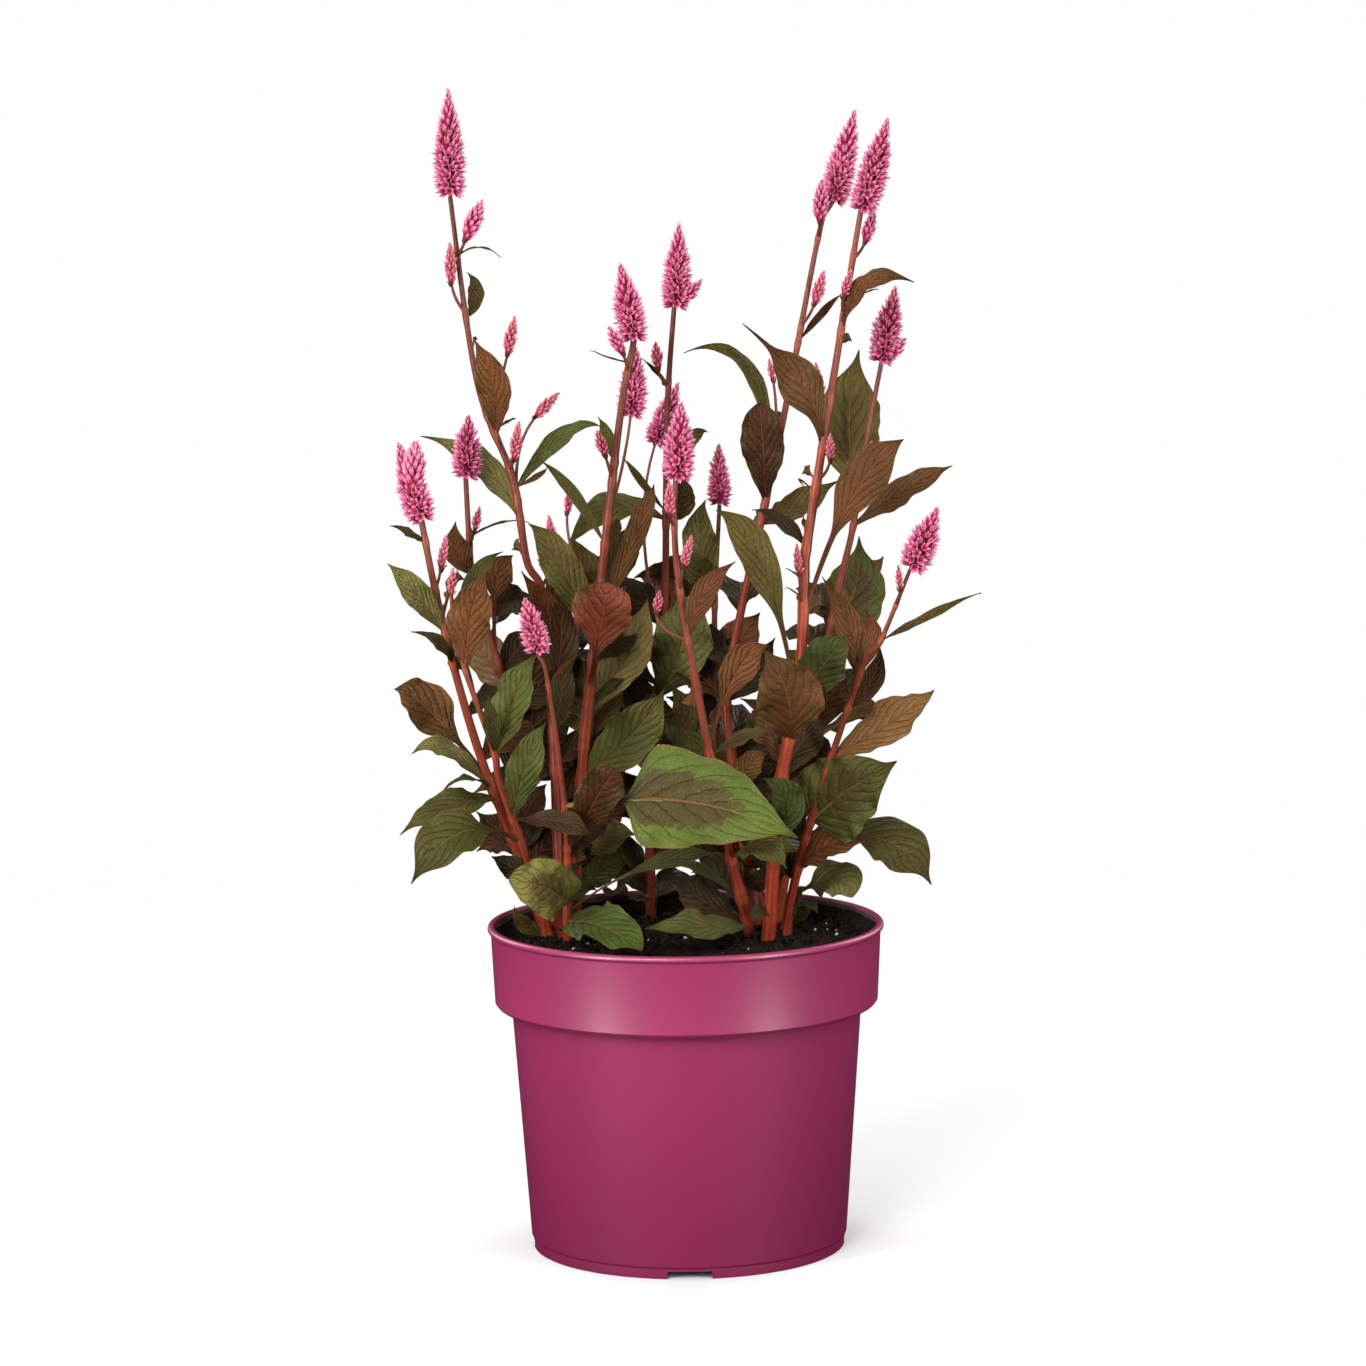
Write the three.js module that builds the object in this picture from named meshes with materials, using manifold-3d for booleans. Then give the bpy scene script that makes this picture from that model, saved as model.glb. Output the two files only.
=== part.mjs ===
// Spiked (wheat) celosia, a bedding and balcony plant with upright pink flower spikes,
// growing in a round nursery pot. Millimetres, +Z up. The origin is on the pot's axis, on the
// surface that the pot stands on, and the plant's fuller side faces -Y.
import * as THREE from 'three';
import { mergeVertices } from 'three/addons/utils/BufferGeometryUtils.js';
import Module from 'manifold-3d';

const wasm = await Module();
wasm.setup();

// ---- pot: one injection-moulded shell with a foot ring, a straight wall and a wide rim band
const ROUND_SIDES = 28;
const WALL = 1.6;
const POT_HEIGHT = 156.6;
const RIM_RADIUS = 95;
const BAND_TOP_RADIUS = 93.5;
const BAND_FOOT_RADIUS = 91.9;
const BAND_FOOT = 118;
const LIP_HEIGHT = 3.2;
const WALL_TOP_RADIUS = 84;
const WALL_FOOT_RADIUS = 76;
const FOOT_RADIUS = 75.2;
const FOOT_HEIGHT = 5;
const FOOT_WIDTH = 2.2;
const FLOOR_RISE = 3.4;
const NOTCH = { count: 4, low: 24, high: 18, height: 3.7 };
const DRAIN = { count: 6, radius: 5, ring: 56, sides: 6 };

// ---- soil: fills the pot to about a finger's width below the rim
const GAP = 0.3;
const SOIL_TOP = 145;
const SOIL_RINGS = [0.3, 0.65];
const STEM_DEPTH = 22;
const HOLE_PLAY = 0.4;

// ---- leafy stems
const STEM_SIDES = 6;
const STALK_SIDES = 4;
const STALK_RADIUS = 0.9;
const STALK_TOP = 0.7;
const STALK_GAP = 0.6;
const SHORT_STALK = 0.26;
const BLADE_THICK = 0.8;
const RIB_DEPTH = 0.5;
const TIP_HALF = 0.5;
const WAVE = 0.13;
// place along the blade, and half-width there as a share of the widest half-width
const BROAD = [[0, 0.14], [0.15, 0.62], [0.38, 1], [0.63, 0.88], [0.83, 0.4], [1, 0.04]];
const SLENDER = [[0, 0.14], [0.22, 0.72], [0.47, 1], [0.75, 0.6], [1, 0.05]];
const BROAD_FROM = 28;
const NARROW_UNDER = 14;

// ---- flower spikes: rows of pointed florets that close to one point at the tip
const HEADS = [
  { under: 7, rows: 2, sides: 6 },
  { under: 12, rows: 3, sides: 6 },
  { under: Infinity, rows: 6, sides: 8 },
];
const CORE_SHARE = 0.68;
const LAST_FLORET = 0.94;
const SPIKE_OUTLINE = [[0, 0.7], [0.1, 1], [0.35, 0.96], [0.65, 0.7], [0.86, 0.36], [1, 0.06]];

// ways that the upper face of a leaf can look
const FRONT = [0, -1, 0.25];
const FRONT_UP = [0, -0.8, 0.7];
const TILTED = [0, -1, 0.45];
const UP = [0, -0.2, 1];
const BACK = [0, 1, 0.3];
const BACK_UP = [0, 0.7, 0.8];
const TOP = null;

// a leaf leaves the stem at the height `from`, its blade starts after the share `stalk` of its
// length, and its midrib runs through `mid` to `tip`
function leaf(from, stalk, mid, tip, wide, face, cup = 0.2) {
  return { from, stalk, mid, tip, wide, face, cup };
}

// a spike has its own stalk from the height `from`, or ends the stem; `more` is a second head
function spike(name, from, base, tip, wide, ...more) {
  return { name, from, heads: [[base, tip, wide], ...more] };
}

const stems = [
  {
    name: 'tall_left',
    foot: 2.8,
    top: 1.1,
    path: [
      [-61, 30, 145], [-62, 30, 212], [-64, 22, 291], [-68, 19, 318],
      [-74, 17, 330], [-80, 13, 370], [-96, 9, 417], [-107, 8, 504],
    ],
    leaves: [
      leaf(476, 0.1, [-94, 1, 480], [-83, -5, 476], 2.4, UP),
      leaf(446, 0.1, [-96, 20, 457], [-100, 26, 468], 8, FRONT),
      leaf(390, 0.15, [-88, -1, 416], [-97, -5, 436], 16, FRONT, 0.3),
      leaf(364, 0.15, [-57, 22, 388], [-37, 18, 395], 10, FRONT_UP),
      leaf(349, 0.1, [-94, 45, 372], [-125, 52, 389], 15, FRONT_UP, 0.15),
      leaf(289, 0.15, [-65, 10, 307], [-77, 4, 325], 13, FRONT),
      leaf(261, 0.2, [-58, 11, 292], [-59, 9, 317], 17, FRONT),
      leaf(244, 0.2, [-58, 17, 266], [-55, 17, 285], 13, FRONT),
    ],
    spikes: [
      spike('spike_tall_left', TOP, [-107, 8, 505], [-107, 8, 555], 16.0),
      spike('bud_a', 475, [-100, 3, 483], [-91, -1, 503], 9.0),
      spike('bud_b', 449, [-107, 3, 463], [-107, 0, 483], 6.5),
      spike('bud_c', 400, [-81, 2, 429], [-77, 0, 448], 6.5),
      spike('bud_d', 374, [-79, 6, 379], [-76, 4, 398], 6.5),
      spike('bud_e', 359, [-69, 24, 398], [-57, 26, 410], 6.0),
      spike('bud_i', 316, [-61, 9, 338], [-63, 7, 353], 5.0),
      spike('bud_j', 307, [-63, 4, 324], [-68, -2, 338], 5.5),
    ],
  },
  {
    name: 'double_left',
    foot: 2.7,
    top: 1.5,
    path: [
      [-69, 40, 145], [-77, 36, 172], [-83, 30, 192], [-96, 10, 232],
      [-107, -5, 275], [-117, -12, 322], [-122, -14, 351],
    ],
    leaves: [
      leaf(342, 0.15, [-128, -19, 347], [-136, -25, 352], 5, FRONT_UP),
      leaf(298, 0.1, [-125, -19, 319], [-138, -23, 333], 13, FRONT),
      leaf(283, 0.2, [-114, -18, 294], [-127, -24, 302], 8, FRONT_UP),
      leaf(224, 0.27, [-120, 6, 258], [-137, 2, 272], 25, FRONT_UP),
      leaf(220, 0.2, [-114, -1, 242], [-129, -7, 240], 11, FRONT_UP),
      leaf(219, 0.1, [-102, 1, 227], [-116, -7, 223], 8, UP),
      leaf(215, 0.1, [-111, -13, 216], [-135, -29, 206], 17, FRONT_UP),
    ],
    spikes: [
      spike('spike_double_left', TOP, [-122, -14, 353], [-133, -10, 390], 16.0,
        [[-126, -16, 366], [-124, -18, 391], 11.5]),
      spike('bud_f', 319, [-114, -6, 328], [-111, -5, 345], 5.0),
    ],
  },
  {
    name: 'side_left',
    foot: 2.7,
    top: 0.9,
    path: [
      [-67, 22, 145], [-72, 10, 174], [-87, -13, 226], [-90, -18, 244],
      [-102, -25, 281], [-107, -27, 302], [-108, -28, 317],
    ],
    leaves: [
      leaf(282, 0.15, [-99, -35, 310], [-91, -39, 329], 21, FRONT),
      leaf(297, 0.1, [-98, -19, 325], [-84, -17, 337], 8, FRONT),
      leaf(241, 0.2, [-80, -31, 269], [-69, -35, 292], 20, FRONT_UP),
      leaf(241, 0.1, [-90, -35, 259], [-91, -43, 272], 8, FRONT),
      leaf(196, 0.27, [-105, -31, 206], [-129, -40, 183], 27, FRONT_UP),
      leaf(208, 0.2, [-75, -29, 237], [-65, -35, 259], 17, FRONT),
      leaf(208, 0.1, [-58, -36, 211], [-44, -41, 204], 13, FRONT_UP),
    ],
    spikes: [
      spike('bud_g', TOP, [-108, -28, 318], [-107, -28, 332], 5.0),
    ],
  },
  {
    name: 'inner_left',
    foot: 2.55,
    top: 1.2,
    path: [
      [-63, 48, 145], [-79, 50, 221], [-87, 42, 269], [-97, 34, 304],
      [-101, 31, 324], [-103, 30, 369],
    ],
    leaves: [
      leaf(322, 0.1, [-107, 19, 335], [-108, 15, 349], 13, FRONT),
      leaf(340, 0.1, [-88, 38, 346], [-73, 40, 347], 2.4, UP),
      leaf(279, 0.45, [-90, 32, 313], [-82, 28, 332], 16, FRONT),
      leaf(214, 0.2, [-84, 62, 233], [-79, 66, 251], 13, FRONT),
      leaf(205, 0.2, [-84, 66, 216], [-104, 78, 208], 22, BACK_UP),
      leaf(262, 0.15, [-96, 62, 278], [-108, 78, 292], 22, BACK),
    ],
    spikes: [
      spike('spike_inner_left', TOP, [-103, 30, 370], [-101, 29, 400], 15.5),
      spike('bud_h', 336, [-99, 23, 344], [-96, 21, 356], 5.0),
    ],
  },
  {
    name: 'low_spike',
    foot: 2.0,
    top: 0.9,
    path: [
      [-57, 8, 144], [-56, -22, 209], [-63, -46, 279], [-67, -50, 292],
    ],
    leaves: [
      leaf(166, 0.2, [-66, -35, 180], [-83, -43, 184], 27, FRONT),
      leaf(176, 0.1, [-65, -4, 184], [-74, -3, 189], 10, FRONT_UP),
      leaf(195, 0.2, [-41, -42, 223], [-31, -50, 238], 20, FRONT),
      leaf(217, 0.27, [2, -59, 226], [52, -83, 210], 50, TILTED, 0.08),
      leaf(162, 0.45, [-21, -21, 186], [15, -31, 195], 11, FRONT_UP),
      leaf(157, 0.1, [-40, -32, 160], [-21, -64, 155], 25, FRONT_UP),
    ],
    spikes: [
      spike('spike_low', TOP, [-67, -50, 294], [-73, -54, 320], 13.5),
    ],
  },
  {
    name: 'mid_left',
    foot: 3.3,
    top: 1.5,
    path: [
      [-54, 42, 146], [-50, 28, 217], [-36, -6, 338], [-27, -14, 406],
      [-21, -14, 436],
    ],
    leaves: [
      leaf(339, 0.1, [-51, 4, 363], [-67, 8, 379], 6, FRONT),
      leaf(292, 0.15, [-57, -8, 330], [-71, -14, 351], 18, FRONT),
      leaf(267, 0.3, [-39, -14, 300], [-35, -22, 323], 29, FRONT, 0.25),
      leaf(256, 0.2, [-26, 25, 284], [-16, 25, 309], 22, FRONT),
      leaf(300, 0.2, [-21, 16, 344], [-12, 20, 365], 11, FRONT, 0.45),
      leaf(310, 0.15, [-29, 27, 330], [-20, 35, 348], 16, FRONT),
      leaf(302, 0.15, [-47, 27, 323], [-52, 37, 339], 17, FRONT),
      leaf(378, 0.1, [-34, 1, 389], [-38, 5, 399], 7, FRONT),
      leaf(245, 0.2, [-55, 40, 253], [-58, 46, 260], 13, FRONT),
      leaf(240, 0.15, [-37, 35, 257], [-29, 41, 269], 13, FRONT),
      leaf(222, 0.2, [-24, 11, 246], [-8, 3, 269], 25, FRONT),
      leaf(177, 0.3, [-39, 25, 191], [-24, 15, 198], 19, FRONT_UP),
      leaf(198, 0.2, [-44, 64, 210], [-40, 84, 206], 24, BACK_UP),
      leaf(250, 0.15, [-48, 48, 268], [-56, 68, 284], 26, BACK),
    ],
    spikes: [
      spike('spike_mid_left', TOP, [-21, -14, 437], [-27, -12, 473], 15.5),
      spike('spike_mid_small', 351, [-23, 2, 400], [-20, 4, 433], 14.5),
      spike('bud_k', 421, [-26, -21, 430], [-33, -26, 444], 7.0),
      spike('bud_l', 370, [-35, -18, 382], [-39, -22, 395], 6.0),
      spike('bud_m', 312, [-54, 8, 353], [-52, 10, 366], 5.0),
    ],
  },
  {
    name: 'centre',
    foot: 2.55,
    top: 1.2,
    path: [
      [-17, 68, 147], [-17, 67, 211], [-14, 63, 246], [-11, 58, 276],
      [-8, 50, 306], [-6, 36, 395], [-2, 30, 448],
    ],
    leaves: [
      leaf(350, 0.1, [-19, 35, 366], [-27, 31, 378], 4, FRONT),
      leaf(346, 0.15, [-33, 30, 353], [-55, 22, 335], 18, FRONT_UP),
      leaf(371, 0.2, [5, 40, 385], [13, 38, 390], 8, FRONT),
      leaf(344, 0.15, [0, 34, 357], [1, 30, 368], 15, FRONT),
      leaf(256, 0.15, [0, 33, 290], [-1, 27, 314], 29, FRONT, 0.15),
      leaf(221, 0.15, [0, 50, 246], [-7, 44, 267], 15, FRONT),
      leaf(253, 0.2, [2, 48, 240], [9, 40, 225], 20, FRONT_UP),
      leaf(156, 0.2, [-34, 24, 167], [-21, 12, 180], 13, FRONT_UP),
      leaf(158, 0.1, [-36, 54, 178], [-46, 46, 190], 17, FRONT_UP),
      leaf(185, 0.2, [-26, 82, 196], [-44, 84, 192], 24, BACK_UP),
      leaf(232, 0.15, [2, 74, 246], [18, 83, 250], 24, BACK_UP),
      leaf(292, 0.15, [-12, 64, 306], [-20, 80, 316], 24, BACK),
    ],
    spikes: [
      spike('spike_centre', TOP, [-1, 30, 450], [1, 30, 490], 15.5,
        [[1, 28, 451], [12, 26, 463], 7.0]),
      spike('spike_back', 286, [-12, 77, 381], [0, 79, 411], 13.5),
      spike('bud_n', 412, [-10, 25, 420], [-11, 23, 434], 6.5),
    ],
  },
  {
    name: 'front_centre',
    foot: 2.7,
    top: 1.3,
    path: [
      [31, 22, 144], [21, -3, 194], [9, -29, 260], [-1, -45, 323],
      [-3, -48, 354], [-2, -48, 373],
    ],
    leaves: [
      leaf(297, 0.25, [10, -48, 319], [25, -52, 335], 12, FRONT),
      leaf(242, 0.3, [24, -34, 279], [40, -40, 295], 17, FRONT),
      leaf(240, 0.1, [28, -34, 250], [42, -42, 255], 8, FRONT_UP),
      leaf(165, 0.25, [6, -2, 183], [-12, -8, 185], 6, FRONT_UP),
      leaf(152, 0.25, [6, 8, 167], [-4, 4, 177], 21, FRONT_UP),
      leaf(151, 0.1, [7, -23, 158], [-19, -39, 161], 18, FRONT_UP),
      leaf(187, 0.1, [37, -23, 196], [48, -33, 187], 18, FRONT_UP),
    ],
    spikes: [
      spike('spike_front', TOP, [-1, -48, 374], [1, -50, 410], 16.0),
      spike('bud_o', 352, [-5, -56, 357], [-5, -59, 374], 5.5),
      spike('bud_p', 321, [1, -53, 333], [5, -56, 348], 5.0),
      spike('bud_q', 297, [-12, -48, 311], [-10, -49, 322], 5.0),
    ],
  },
  {
    name: 'back_centre',
    foot: 2.6,
    top: 1.0,
    path: [
      [38, 66, 144], [29, 70, 190], [18, 71, 254], [16, 69, 294],
      [19, 64, 351],
    ],
    leaves: [
      leaf(304, 0.15, [9, 56, 333], [12, 52, 355], 18, FRONT),
      leaf(301, 0.15, [9, 52, 320], [3, 46, 331], 14, FRONT),
      leaf(239, 0.15, [12, 59, 261], [10, 55, 279], 12, FRONT),
      leaf(190, 0.2, [54, 78, 198], [72, 84, 192], 22, BACK_UP),
      leaf(268, 0.15, [28, 80, 282], [38, 86, 296], 22, BACK),
    ],
    spikes: [
      spike('spike_back_centre', TOP, [19, 64, 352], [19, 64, 382], 12.5),
    ],
  },
  {
    name: 'slim_right',
    foot: 2.7,
    top: 1.2,
    path: [
      [35, 42, 142], [24, 40, 229], [23, 38, 273], [49, 32, 391],
      [68, 35, 484], [74, 36, 497],
    ],
    leaves: [
      leaf(370, 0.15, [33, 29, 420], [2, 25, 429], 8, FRONT_UP),
      leaf(354, 0.14, [40, 22, 380], [38, 18, 404], 21, FRONT, 0.12),
      leaf(432, 0.1, [69, 41, 445], [79, 43, 455], 4, FRONT),
      leaf(344, 0.1, [57, 42, 352], [76, 46, 365], 16, FRONT_UP),
      leaf(214, 0.15, [32, 30, 228], [41, 26, 234], 13, FRONT),
      leaf(236, 0.15, [37, 30, 251], [28, 22, 261], 14, FRONT_UP),
      leaf(204, 0.2, [46, 62, 216], [60, 74, 220], 24, BACK_UP),
    ],
    spikes: [
      spike('spike_slim_right', TOP, [75, 36, 499], [86, 40, 543], 15.5),
      spike('bud_r', 482, [68, 27, 489], [69, 23, 510], 8.5),
      spike('bud_s', 440, [65, 25, 450], [70, 23, 467], 6.5),
      spike('bud_t', 370, [45, 23, 414], [43, 22, 425], 4.0),
    ],
  },
  {
    name: 'tall_right',
    foot: 3.6,
    top: 1.3,
    path: [
      [40, 14, 144], [45, -12, 217], [50, -20, 247], [55, -25, 275],
      [57, -28, 306], [58, -29, 331], [61, -28, 352], [86, -14, 495],
    ],
    leaves: [
      leaf(440, 0.1, [88, -30, 462], [110, -34, 463], 11, FRONT_UP),
      leaf(386, 0.1, [56, -33, 416], [30, -39, 444], 22, FRONT, 0.15),
      leaf(339, 0.1, [48, -19, 350], [34, -15, 357], 8, FRONT_UP),
      leaf(304, 0.35, [79, -42, 362], [104, -46, 390], 22, FRONT, 0.15),
      leaf(265, 0.3, [39, -45, 328], [17, -51, 360], 18, FRONT, 0.35),
      leaf(246, 0.15, [48, -46, 271], [38, -54, 295], 32, FRONT, 0.15),
      leaf(263, 0.15, [67, -37, 286], [78, -43, 298], 23, FRONT),
      leaf(197, 0.15, [47, -23, 217], [38, -31, 231], 20, FRONT_UP),
      leaf(158, 0.2, [36, 1, 161], [31, -6, 158], 8, FRONT_UP),
    ],
    spikes: [
      spike('spike_tall_right', TOP, [87, -14, 496], [99, -20, 539], 16.0),
      spike('bud_u', 473, [88, -8, 480], [93, -6, 496], 7.0),
      spike('bud_v', 448, [77, -26, 456], [81, -29, 469], 5.0),
      spike('bud_w', 407, [67, -15, 410], [64, -13, 425], 4.5),
      spike('bud_x', 370, [70, -34, 380], [70, -36, 393], 4.5),
      spike('bud_y', 309, [55, -35, 327], [54, -37, 342], 4.5),
    ],
  },
  {
    name: 'right',
    foot: 2.7,
    top: 1.1,
    path: [
      [44, 46, 143], [71, 18, 294], [82, 10, 344], [87, 7, 377],
      [96, 6, 423],
    ],
    leaves: [
      leaf(345, 0.1, [107, 2, 363], [129, -2, 374], 15, FRONT_UP),
      leaf(361, 0.1, [81, 20, 395], [87, 24, 428], 30, FRONT, 0.1),
      leaf(287, 0.15, [83, 27, 310], [85, 31, 338], 31, FRONT, 0.12),
      leaf(241, 0.2, [71, 20, 263], [80, 16, 273], 20, FRONT),
      leaf(207, 0.15, [62, 22, 228], [62, 18, 247], 17, FRONT),
      leaf(156, 0.3, [70, 30, 171], [82, 22, 164], 21, FRONT_UP),
      leaf(151, 0.2, [58, 41, 157], [65, 35, 154], 9, UP),
      leaf(238, 0.2, [84, 50, 248], [104, 62, 244], 26, BACK_UP),
      leaf(300, 0.15, [88, 34, 314], [98, 48, 326], 22, BACK),
    ],
    spikes: [
      spike('spike_right', TOP, [96, 6, 424], [103, 3, 460], 15.5,
        [[99, 4, 425], [108, 2, 435], 7.0]),
      spike('bud_z', 365, [89, 1, 375], [91, -1, 387], 5.0),
    ],
  },
  {
    name: 'far_right',
    foot: 2.55,
    top: 0.9,
    path: [
      [48, 22, 144], [58, 8, 194], [84, -25, 279], [93, -31, 294],
      [107, -38, 329],
    ],
    leaves: [
      leaf(295, 0.1, [114, -37, 306], [139, -43, 319], 5, FRONT_UP),
      leaf(274, 0.1, [80, -15, 297], [66, -13, 323], 14, FRONT, 0.35),
      leaf(279, 0.1, [90, -17, 295], [86, -13, 307], 9, FRONT),
      leaf(261, 0.1, [90, -9, 273], [94, -7, 290], 11, FRONT),
      leaf(236, 0.25, [99, -15, 254], [119, -19, 269], 23, FRONT_UP, 0.12),
      leaf(204, 0.15, [80, -12, 222], [101, -20, 235], 42, FRONT, 0.12),
      leaf(180, 0.2, [69, 0, 193], [88, -6, 195], 21, FRONT_UP),
      leaf(195, 0.27, [96, 10, 194], [117, 0, 173], 28, FRONT_UP, 0.12),
    ],
    spikes: [
      spike('spike_far_right', TOP, [108, -38, 330], [120, -44, 359], 16.0),
      spike('bud_zz', 312, [102, -41, 320], [101, -43, 332], 4.0),
    ],
  },
];

const matte = (color, roughness) => new THREE.MeshStandardMaterial({ color, roughness, metalness: 0 });
const potPlastic = matte(0xa53762, 0.35);
const pottingSoil = matte(0x1d1612, 0.95);
const foliage = matte(0x63592f, 0.6);
const floret = matte(0xd0608f, 0.7);

const vector = (point) => new THREE.Vector3(...point);
const mix = THREE.MathUtils.lerp;

// ---- geometry to solid and back
function solid(geometry) {
  geometry.deleteAttribute('normal');
  geometry.deleteAttribute('uv');
  const merged = mergeVertices(geometry, 1e-4);
  return new wasm.Manifold(new wasm.Mesh({
    numProp: 3,
    vertProperties: new Float32Array(merged.attributes.position.array),
    triVerts: new Uint32Array(merged.index.array),
  }));
}

function mesh(name, body, material) {
  const { vertProperties, triVerts } = body.getMesh();
  const geometry = new THREE.BufferGeometry();
  geometry.setAttribute('position', new THREE.BufferAttribute(vertProperties, 3));
  geometry.setIndex(new THREE.BufferAttribute(triVerts, 1));
  const result = new THREE.Mesh(geometry, material);
  result.name = name;
  return result;
}

const join = (bodies) => bodies.reduce((whole, body) => whole.add(body));

// a closed skin through rings of points that turn left as seen from the last ring;
// the sides listed in `crossed` are split along their other diagonal
function loft(rings, crossed = []) {
  const sides = rings[0].length;
  const last = (rings.length - 1) * sides;
  const faces = [];
  for (let i = 0; i < rings.length - 1; i += 1) {
    for (let k = 0; k < sides; k += 1) {
      const a = i * sides + k;
      const b = i * sides + (k + 1) % sides;
      const c = a + sides;
      const d = b + sides;
      if (crossed.includes(k)) faces.push(a, b, c, b, d, c);
      else faces.push(a, b, d, a, d, c);
    }
  }
  for (let k = 1; k < sides - 1; k += 1) {
    faces.push(0, k + 1, k, last, last + k, last + k + 1);
  }
  const geometry = new THREE.BufferGeometry();
  const points = rings.flat().flatMap((point) => point.toArray());
  geometry.setAttribute('position', new THREE.Float32BufferAttribute(points, 3));
  geometry.setIndex(faces);
  return solid(geometry);
}

// rings of a round tube through the points, each ring with its own radius
function tube(points, radii, sides) {
  const rings = points.map((point, i) => {
    const before = points[Math.max(i - 1, 0)];
    const after = points[Math.min(i + 1, points.length - 1)];
    const along = after.clone().sub(before).normalize();
    const side = vector([0, 1, 0]).cross(along).normalize();
    const front = along.clone().cross(side);
    return Array.from({ length: sides }, (_, k) => {
      const turn = 2 * Math.PI * k / sides;
      return point.clone()
        .addScaledVector(side, radii[i] * Math.cos(turn))
        .addScaledVector(front, radii[i] * Math.sin(turn));
    });
  });
  return loft(rings);
}

function pointAt(path, height) {
  const above = path.findIndex((point) => point[2] >= height);
  const [low, high] = [path[above - 1], path[above]];
  const share = (height - low[2]) / (high[2] - low[2]);
  return vector(low).lerp(vector(high), share);
}

// the curve from start to end whose middle lies on mid
function through(start, mid, end) {
  const pull = mid.clone().multiplyScalar(2).addScaledVector(start, -0.5).addScaledVector(end, -0.5);
  return new THREE.QuadraticBezierCurve3(start, pull, end);
}

// ---- pot
function turned(outline) {
  const points = outline.map(([radius, height]) => new THREE.Vector2(radius, height));
  const geometry = new THREE.LatheGeometry(points, ROUND_SIDES);
  geometry.rotateX(Math.PI / 2);
  return geometry;
}

const wallFoot = WALL_FOOT_RADIUS - WALL;
const wallTop = WALL_TOP_RADIUS - WALL;
const ledge = BAND_FOOT + WALL;
const floorTop = FLOOR_RISE + WALL;

function pot() {
  const lipFoot = POT_HEIGHT - LIP_HEIGHT;
  const shell = solid(turned([
    [0, FLOOR_RISE],
    [FOOT_RADIUS - FOOT_WIDTH, FLOOR_RISE],
    [FOOT_RADIUS - FOOT_WIDTH, 0],
    [FOOT_RADIUS, 0],
    [FOOT_RADIUS, FOOT_HEIGHT],
    [WALL_FOOT_RADIUS, FOOT_HEIGHT + 0.6],
    [WALL_TOP_RADIUS, BAND_FOOT],
    [BAND_FOOT_RADIUS - 1.2, BAND_FOOT],
    [BAND_FOOT_RADIUS, BAND_FOOT + 1.6],
    [BAND_TOP_RADIUS, lipFoot],
    [RIM_RADIUS, lipFoot + 0.8],
    [RIM_RADIUS, POT_HEIGHT - 0.9],
    [RIM_RADIUS - 0.9, POT_HEIGHT],
    [BAND_TOP_RADIUS - WALL, POT_HEIGHT],
    [BAND_FOOT_RADIUS - WALL, ledge],
    [wallTop, ledge],
    [wallFoot, floorTop],
    [0, floorTop],
  ]));
  const notchShape = new THREE.Shape([
    new THREE.Vector2(-NOTCH.low / 2, -1),
    new THREE.Vector2(NOTCH.low / 2, -1),
    new THREE.Vector2(NOTCH.high / 2, NOTCH.height),
    new THREE.Vector2(-NOTCH.high / 2, NOTCH.height),
  ]);
  const cuts = [];
  for (let i = 0; i < NOTCH.count; i += 1) {
    const depth = 4 * FOOT_WIDTH;
    const notch = new THREE.ExtrudeGeometry(notchShape, { depth, bevelEnabled: false });
    notch.rotateX(Math.PI / 2);
    notch.translate(0, 2 * FOOT_WIDTH - FOOT_RADIUS, 0);
    notch.rotateZ(2 * Math.PI * i / NOTCH.count);
    cuts.push(solid(notch));
  }
  for (let i = 0; i < DRAIN.count; i += 1) {
    const hole = new THREE.CylinderGeometry(DRAIN.radius, DRAIN.radius, 4 * WALL, DRAIN.sides);
    hole.rotateX(Math.PI / 2);
    hole.translate(DRAIN.ring, 0, FLOOR_RISE + WALL / 2);
    hole.rotateZ(2 * Math.PI * (i + 0.5) / DRAIN.count);
    cuts.push(solid(hole));
  }
  return shell.subtract(join(cuts));
}

// ---- soil
const heaps = (x, y) => 1.6 * Math.sin(x / 13 + 1) * Math.cos(y / 11);
const clods = (x, y) => heaps(x, y) + 0.9 * Math.sin((x + 2 * y) / 9);

function stemTube(stem, play) {
  const [x, y, z] = stem.path[0];
  const points = [vector([x, y, z - STEM_DEPTH - play]), ...stem.path.map(vector)];
  const reach = stem.path.at(-1)[2] - z;
  const radii = points.map((point) => mix(stem.foot, stem.top, Math.max(point.z - z, 0) / reach) + play);
  return tube(points, radii, STEM_SIDES);
}

function soil() {
  const share = (SOIL_TOP - ledge) / (POT_HEIGHT - ledge);
  const edge = mix(BAND_FOOT_RADIUS, BAND_TOP_RADIUS, share) - WALL - GAP;
  const geometry = turned([
    [0, floorTop + GAP],
    [wallFoot - GAP, floorTop + GAP],
    [wallTop - GAP, ledge + GAP],
    [BAND_FOOT_RADIUS - WALL - GAP, ledge + GAP],
    [edge, SOIL_TOP],
    ...SOIL_RINGS.map((inward) => [edge * (1 - inward), SOIL_TOP]),
    [0, SOIL_TOP],
  ]);
  const place = geometry.attributes.position;
  for (let i = 0; i < place.count; i += 1) {
    const [x, y, z] = [place.getX(i), place.getY(i), place.getZ(i)];
    if (Math.abs(z - SOIL_TOP) < 0.01) place.setZ(i, z + clods(x, y));
  }
  return solid(geometry).subtract(join(stems.map((stem) => stemTube(stem, HOLE_PLAY))));
}

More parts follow.
